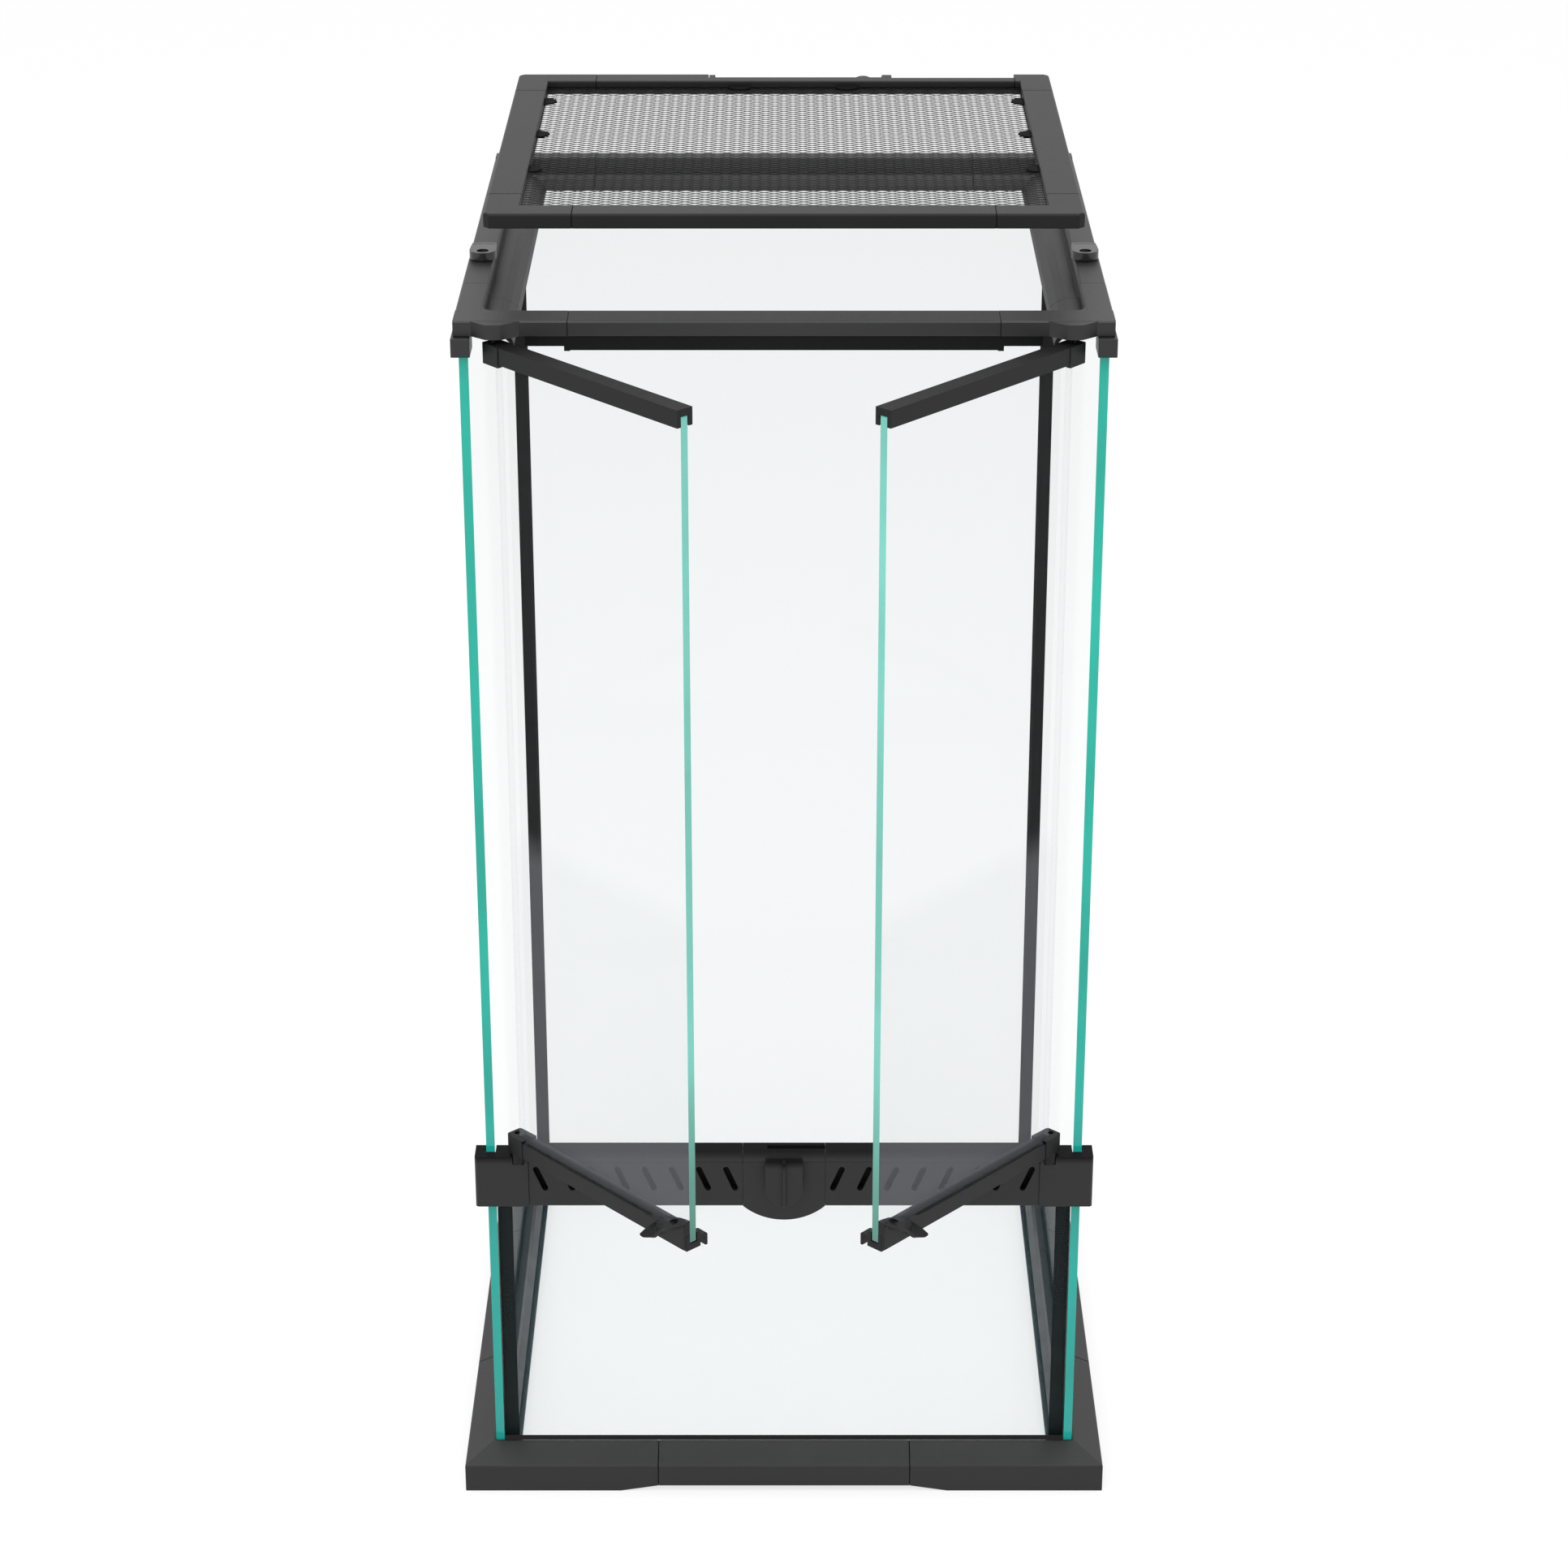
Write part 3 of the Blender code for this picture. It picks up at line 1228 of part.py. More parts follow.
def cover_rear_bar(parent):
    """The rear bar, set back along most of its length for leads and tubes."""
    left = -(COVER_X - COVER_CORNER_X) + GAP
    right = COVER_X - COVER_REAR_RIGHT_X - GAP
    run = inset_run(cover_profile(), COVER_Y, 1)
    piece = prism("cover_bar_rear", run, "X", left, right, parent, plastic)
    low = (RECESS_START, COVER_Y - RECESS_DEPTH, COVER_TOP - COVER_THICK - 0.01)
    high = (right + 0.01, COVER_Y + 0.01, COVER_TOP + 0.01)
    cut_from(piece, box("cover_recess", low, high, parent))
    middle = COVER_TOP - COVER_THICK / 2
    low = (RECESS_START - 0.003, COVER_Y - RECESS_DEPTH - SLIDE_TONGUE - GAP, middle - 0.0015)
    high = (right + 0.01, COVER_Y - RECESS_DEPTH + 0.01, middle + 0.0015)
    cut_from(piece, box("cover_slide_groove", low, high, parent))
    return piece


def inlet_slide(parent):
    """The slide that closes part of the recess: a strip with a finger bump and an end tab."""
    back = COVER_Y - RECESS_DEPTH + GAP
    low = COVER_TOP - COVER_THICK + 0.0005
    high = COVER_TOP - 0.0005
    strip = [
        (SLIDE_START, COVER_Y - 0.0005),
        (SLIDE_START, back),
        (SLIDE_END, back),
        (SLIDE_END, COVER_Y - 0.0005),
        (SLIDE_END - 0.0072, COVER_Y - 0.0005),
        (SLIDE_END - 0.0080, back + SLIDE_THICK),
        (SLIDE_END - 0.0160, back + SLIDE_THICK),
        (SLIDE_END - 0.0185, back + SLIDE_THICK + 0.0040),
        (SLIDE_END - 0.0215, back + SLIDE_THICK + 0.0052),
        (SLIDE_END - 0.0245, back + SLIDE_THICK + 0.0040),
        (SLIDE_END - 0.0270, back + SLIDE_THICK),
        (SLIDE_START + SLIDE_TAB, back + SLIDE_THICK),
        (SLIDE_START + SLIDE_TAB, COVER_Y - 0.0005),
    ]
    slide = prism("inlet_slide", strip, "Z", low, high, parent, plastic)
    middle = COVER_TOP - COVER_THICK / 2
    low = (SLIDE_START + 0.001, back - SLIDE_TONGUE, middle - 0.0012)
    high = (SLIDE_END - 0.001, back + 0.001, middle + 0.0012)
    add_to(slide, box("inlet_slide_tongue", low, high, parent))
    return slide


def screen_cover(parent):
    carrier = empty("cover_carrier", (0, COVER_MID, COVER_LIFT), parent)
    for x_name, x_side in SIDES:
        for y_name, y_side in ENDS:
            rear_right = x_side > 0 and y_side > 0
            reach = COVER_REAR_RIGHT_X if rear_right else COVER_CORNER_X
            cover_corner(f"cover_corner_{y_name}_{x_name}", x_side, y_side, reach, carrier)
        run = inset_run(cover_profile(), COVER_X, x_side)
        half = COVER_Y - COVER_CORNER_Y - GAP
        prism(f"cover_bar_{x_name}", run, "Y", -half, half, carrier, plastic)
    run = inset_run(cover_profile(), COVER_Y, -1)
    half = COVER_X - COVER_CORNER_X - GAP
    prism("cover_bar_front", run, "X", -half, half, carrier, plastic)
    cover_rear_bar(carrier)
    cover_mesh(carrier)
    inlet_slide(carrier)


def main():
    clear_scene()
    datum = empty("datum", (0, DATUM_Y, 0))
    base_frame(datum)
    panes(datum)
    floor_seal(datum)
    corner_strips(datum)
    top_frame(datum)
    for x_name, x_side in SIDES:
        vent_section(x_name, x_side, datum)
        vent_end(x_name, x_side, datum)
        door(x_name, x_side, datum)
        latch(x_name, x_side, datum)
    lock_housing(datum)
    lock(datum)
    screen_cover(datum)


main()
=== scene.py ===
"""Looks of the terrarium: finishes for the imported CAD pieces, and finer pieces over some of them."""

import json
import math

import bmesh
import bpy
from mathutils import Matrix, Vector


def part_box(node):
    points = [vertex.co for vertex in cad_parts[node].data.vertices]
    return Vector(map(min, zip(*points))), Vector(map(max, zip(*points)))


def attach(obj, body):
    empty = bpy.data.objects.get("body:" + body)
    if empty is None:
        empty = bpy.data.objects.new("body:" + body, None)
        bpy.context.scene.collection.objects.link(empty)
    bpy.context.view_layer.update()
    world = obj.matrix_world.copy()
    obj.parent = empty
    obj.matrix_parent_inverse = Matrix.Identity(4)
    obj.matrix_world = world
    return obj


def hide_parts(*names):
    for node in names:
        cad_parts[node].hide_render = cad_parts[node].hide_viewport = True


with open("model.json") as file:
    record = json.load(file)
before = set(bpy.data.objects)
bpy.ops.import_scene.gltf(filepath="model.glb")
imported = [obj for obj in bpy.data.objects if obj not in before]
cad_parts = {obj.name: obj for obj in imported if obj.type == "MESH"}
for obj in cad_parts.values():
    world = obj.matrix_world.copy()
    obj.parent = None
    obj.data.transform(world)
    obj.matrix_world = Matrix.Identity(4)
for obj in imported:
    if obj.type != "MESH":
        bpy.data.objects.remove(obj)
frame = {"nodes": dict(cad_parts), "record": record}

# Camera
IMAGE_SIZE = 1932
FOCAL_PIXELS = 4800.9
SENSOR = 36.0
CAMERA_BACK = 2.476
CAMERA_HEIGHT = 1.658
CAMERA_PITCH = math.radians(23.73)

# Studio
CLEAR_SURFACES = 32
FLOOR_HALF = 30.0
FLOOR_ALBEDO = 0.33
FLOOR_LIFT = 0.72
WORLD_LEVEL = 0.80
LIT_POINT = (0, 0, 0.5)
TOP_LIGHT_PLACE = (0, -0.2, 2.6)
TOP_LIGHT_SIZE = 2.6
TOP_LIGHT_POWER = 32.0
FRONT_LIGHT_PLACE = (-0.8, -2.8, 1.9)
FRONT_LIGHT_SIZE = 2.2
FRONT_LIGHT_POWER = 16.0

# Colours
CHARCOAL = (0.0085, 0.0085, 0.0088)
CHARCOAL_VENT = (0.013, 0.013, 0.0132)
CHARCOAL_COVER = (0.0135, 0.0135, 0.0142)
CHARCOAL_DOOR = (0.0045, 0.0045, 0.0048)
CHARCOAL_LATCH = (0.010, 0.010, 0.0104)
# Near-black for the painted shade in the seams between bars, and for the door gaskets
SEAM_SHADE_AND_GASKET_BLACK = (0.004, 0.004, 0.004)
SCREEN_BLACK = (0.010, 0.010, 0.011)
CLIP_BLACK = (0.006, 0.006, 0.006)
SEAL_BLACK = (0.008, 0.008, 0.0075)
SEAL_GREY = (0.085, 0.088, 0.092)
PANE_TINT = (0.07, 0.26, 0.31)
# Pale white layer on the door panes: painted reflection of the bright room
PAINTED_REFLECTION_WHITE = (0.78, 0.82, 0.90)
SIDE_EDGE_HIGH = (0.004, 0.60, 0.46)
SIDE_EDGE_LOW = (0.010, 0.52, 0.44)
DOOR_EDGE_HIGH = (0.24, 0.80, 0.67)
DOOR_EDGE_LOW = (0.08, 0.26, 0.20)
HIDDEN_EDGE = (0.020, 0.024, 0.024)
CLEAR_EDGE = (0.34, 0.42, 0.46)

# How much of a pane's surface its tint covers
SIDE_PANE_ALPHA = 0.10
REAR_PANE_ALPHA = 0.085
FLOOR_PANE_ALPHA = 0.045
LOW_PANE_ALPHA = 0.018
# Cover of the door panes' painted reflection, strong low down and faint higher up
PAINTED_REFLECTION_ALPHA = 0.074
PAINTED_REFLECTION_ALPHA_HIGH = 0.008
HINGE_EDGE_ALPHA = 0.12
REAR_EDGE_ALPHA = 0.10

# Specular levels
TOP_SHINE = 0.52
COVER_SHINE = 0.15
BASE_SHINE = 0.46
DOOR_SHINE = 0.27
VENT_SHINE = 0.42
VENT_SHINE_HIGH = 0.021
LATCH_SHINE = 0.60
DULL_SHINE = 0.15
MATT_SHINE = 0.02
REAR_SEAL_SHINE = 0.14
FRONT_SEAL_SHINE = 0.10
FLOOR_SEAL_SHINE = 0.30

# Roughness
PLASTIC_ROUGHNESS = 0.45
COVER_ROUGHNESS = 0.42
VENT_ROUGHNESS = 0.50
LATCH_ROUGHNESS = 0.28
SCREEN_ROUGHNESS = 0.50
MATT_ROUGHNESS = 0.60
SEAL_ROUGHNESS = 0.34
GLASS_ROUGHNESS = 0.06
ROUGHNESS_BELOW = 0.04
ROUGHNESS_ABOVE = 0.05

# Noises, whose values fill the middle of the range from 0 to 1
NOISE_SPAN = (0.3, 0.7)
GRAIN_SCALE = 1400.0
VENT_GRAIN_SCALE = 1000.0
GRAIN_DETAIL = 3.0
GRAIN_STRENGTH = 0.03
VENT_GRAIN_STRENGTH = 0.05
LATCH_GRAIN_STRENGTH = 0.02
GRAIN_DEPTH = 0.0003
CLOUD_SCALE = 14.0
CLOUD_DETAIL = 5.0
CLOUD_SPREAD = 0.12
WAVE_SCALE = 60.0
WAVE_DETAIL = 2.0
WAVE_SPREAD = 0.2
WAVE_STRENGTH = 0.15
WAVE_DEPTH = 0.001
STREAK_SCALE = 9.0
STREAK_DETAIL = 6.0
STREAK_TONES = (0.82, 1.12)

# Heights over which a finish changes
# The door panes' painted reflection fades over the first of these height spans
PAINTED_REFLECTION_CHANGE = (0.518, 0.542)
EDGE_CHANGE = (0.26, 0.42)
VENT_SLOPE = 0.0057

# Rounded edges
EDGE_ROUND = 0.0005
HOUSING_ROUND = 0.0012
GLASS_ROUND = 0.0004
ROUND_SEGMENTS = 2
ROUNDED_ABOVE = math.radians(28)
TOP_ROUNDED_ABOVE = math.radians(17)
FLAT_WITHIN = math.radians(1)
WELD = 1e-5

# Polished edges
POLISHED_BAND = 0.0008
FACE_TURN = 0.7

# Doors, as they stand at rest
DOOR_OPEN = math.radians(47.2)

# Bead, gaskets and seams
BEAD_SIZE = 0.0026
BEAD_SHOULDER = (0.3, 0.7)
BEAD_CLEAR = 0.0001
GASKET_NEAR = 0.0031
GASKET_WIDE = 0.0019
GASKET_THICK = 0.0002
GASKET_START = 0.016
GASKET_END = 0.152
BLOCK_RISE = 0.002
SEAM_THICK = 0.0002
SEAM_CLEAR = 0.00005
SEAM_REACH = 1e-5

# Expanded metal
OPENING_WIDE = 0.0135
OPENING_DEEP = 0.0059
BOND = 0.0011
STRAND = 0.0005
OPENING_SWELL = 1.10
SCREEN_THICK = 0.0003

# Clips
CLIP_RADIUS = 0.0090
CLIP_THICK = 0.0012
CLIP_ROUND = CLIP_THICK / 3
CLIP_STEPS = 10
SIDE_CLIP_SPREAD = 0.096
SIDE_CLIP_SHIFT = 0.031
REAR_CLIP_LEFT = -0.033
REAR_CLIP_RIGHT = 0.047
REAR_CLIP_SETBACK = 0.0275
CLIP_RAISE = 0.0002


def add_nodes(owner, *kinds):
    return [owner.node_tree.nodes.new(kind) for kind in kinds]


def new_material(name):
    made = bpy.data.materials.new(name)
    made.use_nodes = True
    return made, made.node_tree.nodes["Principled BSDF"], made.node_tree.links


def shade(colour, factor):
    return (*[channel * factor for channel in colour], 1.0)


def surface_point(material):
    """The point on the surface, in its object's frame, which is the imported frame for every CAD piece."""
    return add_nodes(material, "ShaderNodeTexCoord")[0].outputs["Object"]


def height_of(material, point):
    split = add_nodes(material, "ShaderNodeSeparateXYZ")[0]
    material.node_tree.links.new(point, split.inputs["Vector"])
    return split.outputs["Z"]


def noise(material, point, scale, detail):
    made = add_nodes(material, "ShaderNodeTexNoise")[0]
    made.inputs["Scale"].default_value = scale
    made.inputs["Detail"].default_value = detail
    material.node_tree.links.new(point, made.inputs["Vector"])
    return made.outputs["Fac"]


def remap(material, source, span, result):
    """Maps one span of values onto another, and stops at its ends."""
    made = add_nodes(material, "ShaderNodeMapRange")[0]
    for name, value in zip(("From Min", "From Max", "To Min", "To Max"), (*span, *result)):
        made.inputs[name].default_value = value
    material.node_tree.links.new(source, made.inputs["Value"])
    return made.outputs["Result"]


def clouded(material, source, colour, spread):
    """A colour that gets darker and lighter with a noise."""
    ramp = add_nodes(material, "ShaderNodeValToRGB")[0]
    for number, factor in enumerate((1.0 - spread, 1.0 + spread)):
        ramp.color_ramp.elements[number].position = NOISE_SPAN[number]
        ramp.color_ramp.elements[number].color = shade(colour, factor)
    material.node_tree.links.new(source, ramp.inputs["Fac"])
    return ramp.outputs["Color"]


def bumped(material, source, strength, depth):
    bump = add_nodes(material, "ShaderNodeBump")[0]
    bump.inputs["Strength"].default_value = strength
    bump.inputs["Distance"].default_value = depth
    material.node_tree.links.new(source, bump.inputs["Height"])
    return bump.outputs["Normal"]


def moulded_plastic(
    name, colour, shine, roughness=PLASTIC_ROUGHNESS, grain=GRAIN_STRENGTH, grain_scale=GRAIN_SCALE
):
    """Dark moulded plastic: a fine grain, a faint cloudy tone and an uneven gloss."""
    made, shader, links = new_material(name)
    point = surface_point(made)
    fine = noise(made, point, grain_scale, GRAIN_DETAIL)
    cloud = noise(made, point, CLOUD_SCALE, CLOUD_DETAIL)
    gloss = remap(made, fine, NOISE_SPAN, (roughness - ROUGHNESS_BELOW, roughness + ROUGHNESS_ABOVE))
    shader.inputs["Specular IOR Level"].default_value = shine
    links.new(clouded(made, cloud, colour, CLOUD_SPREAD), shader.inputs["Base Color"])
    links.new(gloss, shader.inputs["Roughness"])
    links.new(bumped(made, fine, grain, GRAIN_DEPTH), shader.inputs["Normal"])
    return made


def dim_above(material, start):
    """Lets the gloss fade over the vent bar's slope, which faces a darker part of the room."""
    span = (start, start + VENT_SLOPE)
    fade = remap(material, height_of(material, surface_point(material)), span, (VENT_SHINE, VENT_SHINE_HIGH))
    shader = material.node_tree.nodes["Principled BSDF"]
    material.node_tree.links.new(fade, shader.inputs["Specular IOR Level"])


def sealant(name, colour, shine):
    """Glossy sealant with a cloudy tone and a faint waviness."""
    made, shader, links = new_material(name)
    waves = noise(made, surface_point(made), WAVE_SCALE, WAVE_DETAIL)
    shader.inputs["Roughness"].default_value = SEAL_ROUGHNESS
    shader.inputs["Specular IOR Level"].default_value = shine
    links.new(clouded(made, waves, colour, WAVE_SPREAD), shader.inputs["Base Color"])
    links.new(bumped(made, waves, WAVE_STRENGTH, WAVE_DEPTH), shader.inputs["Normal"])
    return made


def beyond(material, source, direction, limit, either_way=False):
    """1 where a vector reaches further along a direction than the limit, otherwise 0."""
    along, test = add_nodes(material, "ShaderNodeVectorMath", "ShaderNodeMath")
    links = material.node_tree.links
    along.operation = "DOT_PRODUCT"
    along.inputs[1].default_value = direction
    test.operation = "GREATER_THAN"
    test.inputs[1].default_value = limit
    links.new(source, along.inputs[0])
    reach = along.outputs["Value"]
    if either_way:
        size = add_nodes(material, "ShaderNodeMath")[0]
        size.operation = "ABSOLUTE"
        links.new(reach, size.inputs[0])
        reach = size.outputs["Value"]
    links.new(reach, test.inputs[0])
    return test.outputs["Value"]


def reach_along(name, direction):
    """How far a CAD piece reaches along a direction."""
    return max(direction.dot(vertex.co) for vertex in frame["nodes"][name].data.vertices)


def blend_colours(material, factor, first, second):
    """Mixes two colours, each given as a colour or as a socket."""
    mix = add_nodes(material, "ShaderNodeMix")[0]
    mix.data_type = "RGBA"
    material.node_tree.links.new(factor, mix.inputs["Factor"])
    for name, source in (("A", first), ("B", second)):
        if isinstance(source, tuple):
            mix.inputs[name].default_value = (*source, 1.0)
        else:
            material.node_tree.links.new(source, mix.inputs[name])
    return next(output for output in mix.outputs if output.type == "RGBA")


def polished_colour(material, point, low, high):
    """The colour of a polished edge, which changes with height and is faintly streaked."""
    change = remap(material, height_of(material, point), EDGE_CHANGE, (0.0, 1.0))
    streaks = noise(material, point, STREAK_SCALE, STREAK_DETAIL)
    tone = remap(material, streaks, NOISE_SPAN, STREAK_TONES)
    uneven = add_nodes(material, "ShaderNodeVectorMath")[0]
    uneven.operation = "SCALE"
    links = material.node_tree.links
    links.new(blend_colours(material, change, low, high), uneven.inputs[0])
    links.new(tone, uneven.inputs["Scale"])
    return uneven.outputs["Vector"]


def pane_glass(name, pane, across, tint, edges, alpha, alpha_above=None):
    """Clear through its two large faces, coloured along the polished edge that faces one way. On the doors
    the faces carry a pale white layer as painted reflection, whose cover changes with height.
    """
    facing, low, high, other, other_alpha = edges
    made, shader, links = new_material(name)
    coordinates, cover = add_nodes(made, "ShaderNodeTexCoord", "ShaderNodeMix")
    point = coordinates.outputs["Object"]
    face = beyond(made, coordinates.outputs["Normal"], across, FACE_TURN, True)
    polished = beyond(made, point, facing, reach_along(pane, facing) - POLISHED_BAND)
    edge = blend_colours(made, polished, other, polished_colour(made, point, low, high))
    shader.inputs["Roughness"].default_value = GLASS_ROUGHNESS
    cover.inputs["B"].default_value = alpha
    if alpha_above is not None:
        painted_reflection_cover = remap(made, height_of(made, point), PAINTED_REFLECTION_CHANGE, (alpha, alpha_above))
        links.new(painted_reflection_cover, cover.inputs["B"])
    links.new(face, cover.inputs["Factor"])
    links.new(remap(made, polished, (0.0, 1.0), (other_alpha, 1.0)), cover.inputs["A"])
    links.new(blend_colours(made, face, edge, tint), shader.inputs["Base Color"])
    links.new(cover.outputs["Result"], shader.inputs["Alpha"])
    return made


def soften(node, width, sharpest):
    """Rounds the hard edges of a CAD piece, whose own vertices stay as they are."""
    flags = [True] * len(node.data.polygons)
    node.data.polygons.foreach_set("use_smooth", flags)
    weld = node.modifiers.new("weld", "WELD")
    weld.merge_threshold = WELD
    flat = node.modifiers.new("flat", "DECIMATE")
    flat.decimate_type = "DISSOLVE"
    flat.angle_limit = FLAT_WITHIN
    bevel = node.modifiers.new("round", "BEVEL")
    bevel.width = width
    bevel.segments = ROUND_SEGMENTS
    bevel.limit_method = "ANGLE"
    bevel.angle_limit = sharpest
    even = node.modifiers.new("even", "WEIGHTED_NORMAL")
    even.mode = "FACE_AREA"
    even.keep_sharp = True


def finish_node(name, material, rounding=EDGE_ROUND):
    node = frame["nodes"][name]
    node.data.materials.clear()
    node.data.materials.append(material)
    soften(node, rounding, TOP_ROUNDED_ABOVE if name.startswith("top_") else ROUNDED_ABOVE)


def finish_plastics():
    base = moulded_plastic("base_plastic", CHARCOAL, BASE_SHINE)
    top = moulded_plastic("top_plastic", CHARCOAL, TOP_SHINE)
    cover = moulded_plastic("cover_plastic", CHARCOAL_COVER, COVER_SHINE, COVER_ROUGHNESS)
    door = moulded_plastic("door_plastic", CHARCOAL_DOOR, DOOR_SHINE)
    grained = (VENT_GRAIN_STRENGTH, VENT_GRAIN_SCALE)
    vent = moulded_plastic("vent_plastic", CHARCOAL_VENT, VENT_SHINE, VENT_ROUGHNESS, *grained)
    lock = moulded_plastic("lock_plastic", CHARCOAL_VENT, VENT_SHINE, VENT_ROUGHNESS)
    latch = moulded_plastic(
        "latch_plastic", CHARCOAL_LATCH, LATCH_SHINE, LATCH_ROUGHNESS, LATCH_GRAIN_STRENGTH
    )
    stop = moulded_plastic("stop_plastic", CHARCOAL_DOOR, DULL_SHINE)
    slope_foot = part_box("vent_end_left")[1].z - VENT_SLOPE
    for material in (vent, lock):
        dim_above(material, slope_foot)
    by_start = (
        ("door_stop", stop),
        ("cover_latch_", latch),
        ("cover_", cover),
        ("inlet_", cover),
        ("base_", base),
        ("vent_", vent),
        ("lock_housing", vent),
        ("lock_", lock),
        ("top_", top),
        ("glass_cap_", top),
        ("door_", door),
    )
    for name in frame["nodes"]:
        if name == "cover_mesh" or name.endswith("_glass"):
            continue
        for start, material in by_start:
            if name.startswith(start):
                finish_node(name, material, HOUSING_ROUND if name == "lock_housing" else EDGE_ROUND)
                break


def finish_seals():
    rear = sealant("strip_sealant", SEAL_BLACK, REAR_SEAL_SHINE)
    front = sealant("seal_sealant", SEAL_BLACK, FRONT_SEAL_SHINE)
    for side in ("left", "right"):
        finish_node(f"rear_strip_{side}", rear)
        finish_node(f"front_strip_{side}", front)
    finish_node("floor_seal", sealant("floor_sealant", SEAL_GREY, FLOOR_SEAL_SHINE))
    front_bead(front)


def door_directions(sign):
    """Along a door to its free end, and across its pane. The sign is 1 on the left and -1 on the right."""
    across = math.sin(DOOR_OPEN)
    along = math.cos(DOOR_OPEN)
    return Vector((sign * along, -across, 0)), Vector((sign * across, along, 0))


def finish_glass():
    forward = Vector((0, -1, 0))
    side_edges = (forward, SIDE_EDGE_LOW, SIDE_EDGE_HIGH, CLEAR_EDGE, REAR_EDGE_ALPHA)
    rear_edges = (forward, HIDDEN_EDGE, HIDDEN_EDGE, CLEAR_EDGE, REAR_EDGE_ALPHA)
    dark_edges = (forward, HIDDEN_EDGE, HIDDEN_EDGE, HIDDEN_EDGE, 1.0)
    panes = (
        ("side_glass", ("side_glass_left", "side_glass_right"), (1, 0, 0), side_edges, SIDE_PANE_ALPHA),
        ("upright_glass", ("rear_glass",), (0, 1, 0), rear_edges, REAR_PANE_ALPHA),
        ("front_glass", ("front_lower_glass",), (0, 1, 0), dark_edges, LOW_PANE_ALPHA),
        ("floor_pane", ("floor_glass",), (0, 0, 1), dark_edges, FLOOR_PANE_ALPHA),
    )
    for name, nodes, across, edges, alpha in panes:
        material = pane_glass(name, nodes[0], across, PANE_TINT, edges, alpha)
        for node in nodes:
            finish_node(node, material, GLASS_ROUND)
    for side, sign in (("left", 1), ("right", -1)):
        along, across = door_directions(sign)
        edges = (along, DOOR_EDGE_LOW, DOOR_EDGE_HIGH, CLEAR_EDGE, HINGE_EDGE_ALPHA)
        pane = f"door_{side}_glass"
        name = f"door_glass_{side}"
        # The door panes' faces get a pale white painted reflection, stronger below a height
        material = pane_glass(name, pane, across, PAINTED_REFLECTION_WHITE, edges, PAINTED_REFLECTION_ALPHA, PAINTED_REFLECTION_ALPHA_HIGH)
        finish_node(pane, material, GLASS_ROUND)


def piece_from(name, shape, material, body, place=(0, 0, 0)):
    """Turns a bmesh into an object that rides on a body and has a slot's finish."""
    mesh = bpy.data.meshes.new(name)
    shape.to_mesh(mesh)
    shape.free()
    mesh.materials.append(material)
    piece = bpy.data.objects.new(name, mesh)
    bpy.context.scene.collection.objects.link(piece)
    piece.location = place
    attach(piece, body)
    return piece


def thicken(piece, thickness, offset):
    sheet = piece.modifiers.new("sheet", "SOLIDIFY")
    sheet.thickness = thickness
    sheet.offset = offset


def add_prism(shape, first, second):
    """Adds a closed prism between two rings of points."""
    near = [shape.verts.new(point) for point in first]
    far = [shape.verts.new(point) for point in second]
    shape.faces.new(reversed(near))
    shape.faces.new(far)
    for here in range(len(near)):
        there = (here + 1) % len(near)
        shape.faces.new((near[here], near[there], far[there], far[here]))
    bmesh.ops.recalc_face_normals(shape, faces=shape.faces)


def front_bead(material):
    """The bead of sealant along the foot of the low front pane, on top of the base."""
    low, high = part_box("front_lower_glass")
    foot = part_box("base_bar_front")[1].z + BEAD_CLEAR
    near = low.y - BEAD_CLEAR
    forward, upward = BEAD_SHOULDER
    outline = (
        (near - BEAD_SIZE, foot),
        (near, foot),
        (near, foot + BEAD_SIZE),
        (near - BEAD_SIZE * forward, foot + BEAD_SIZE * upward),
    )
    shape = bmesh.new()
    add_prism(shape, [(low.x, *point) for point in outline], [(high.x, *point) for point in outline])
    piece_from("front_bead", shape, material, "tank")


def seam(name, body, material):
    """Dark sheets on both ends of a bar, in the fine gaps between it and its neighbours, as painted shade in
    the joints.
    """
    low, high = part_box(name)
    axis = 0 if high.x - low.x > high.y - low.y else 1
    ends = (low[axis], high[axis])
    shape = bmesh.new()
    shape.from_mesh(frame["nodes"][name].data)
    inner = []
    for face in shape.faces:
        gaps = [max(abs(vertex.co[axis] - end) for vertex in face.verts) for end in ends]
        if min(gaps) > SEAM_REACH:
            inner.append(face)
    bmesh.ops.delete(shape, geom=inner, context="FACES")
    middle = sum(ends) / 2
    for vertex in shape.verts:
        vertex.co[axis] += math.copysign(SEAM_CLEAR, vertex.co[axis] - middle)
    piece = piece_from(f"seam_{name}", shape, material, body)
    thicken(piece, SEAM_THICK, 1)


# Painted shade: every bar's seams get a dark sheet, the vent bar's in its own plastic
def seams(black):
    for group, body in (("base", "tank"), ("top", "tank"), ("cover", "cover")):
        for side in ("front", "rear", "left", "right"):
            seam(f"{group}_bar_{side}", body, black)
    vent = frame["nodes"]["vent_bar_left"].data.materials[0]
    for side in ("left", "right"):
        seam(f"vent_bar_{side}", "tank", vent)


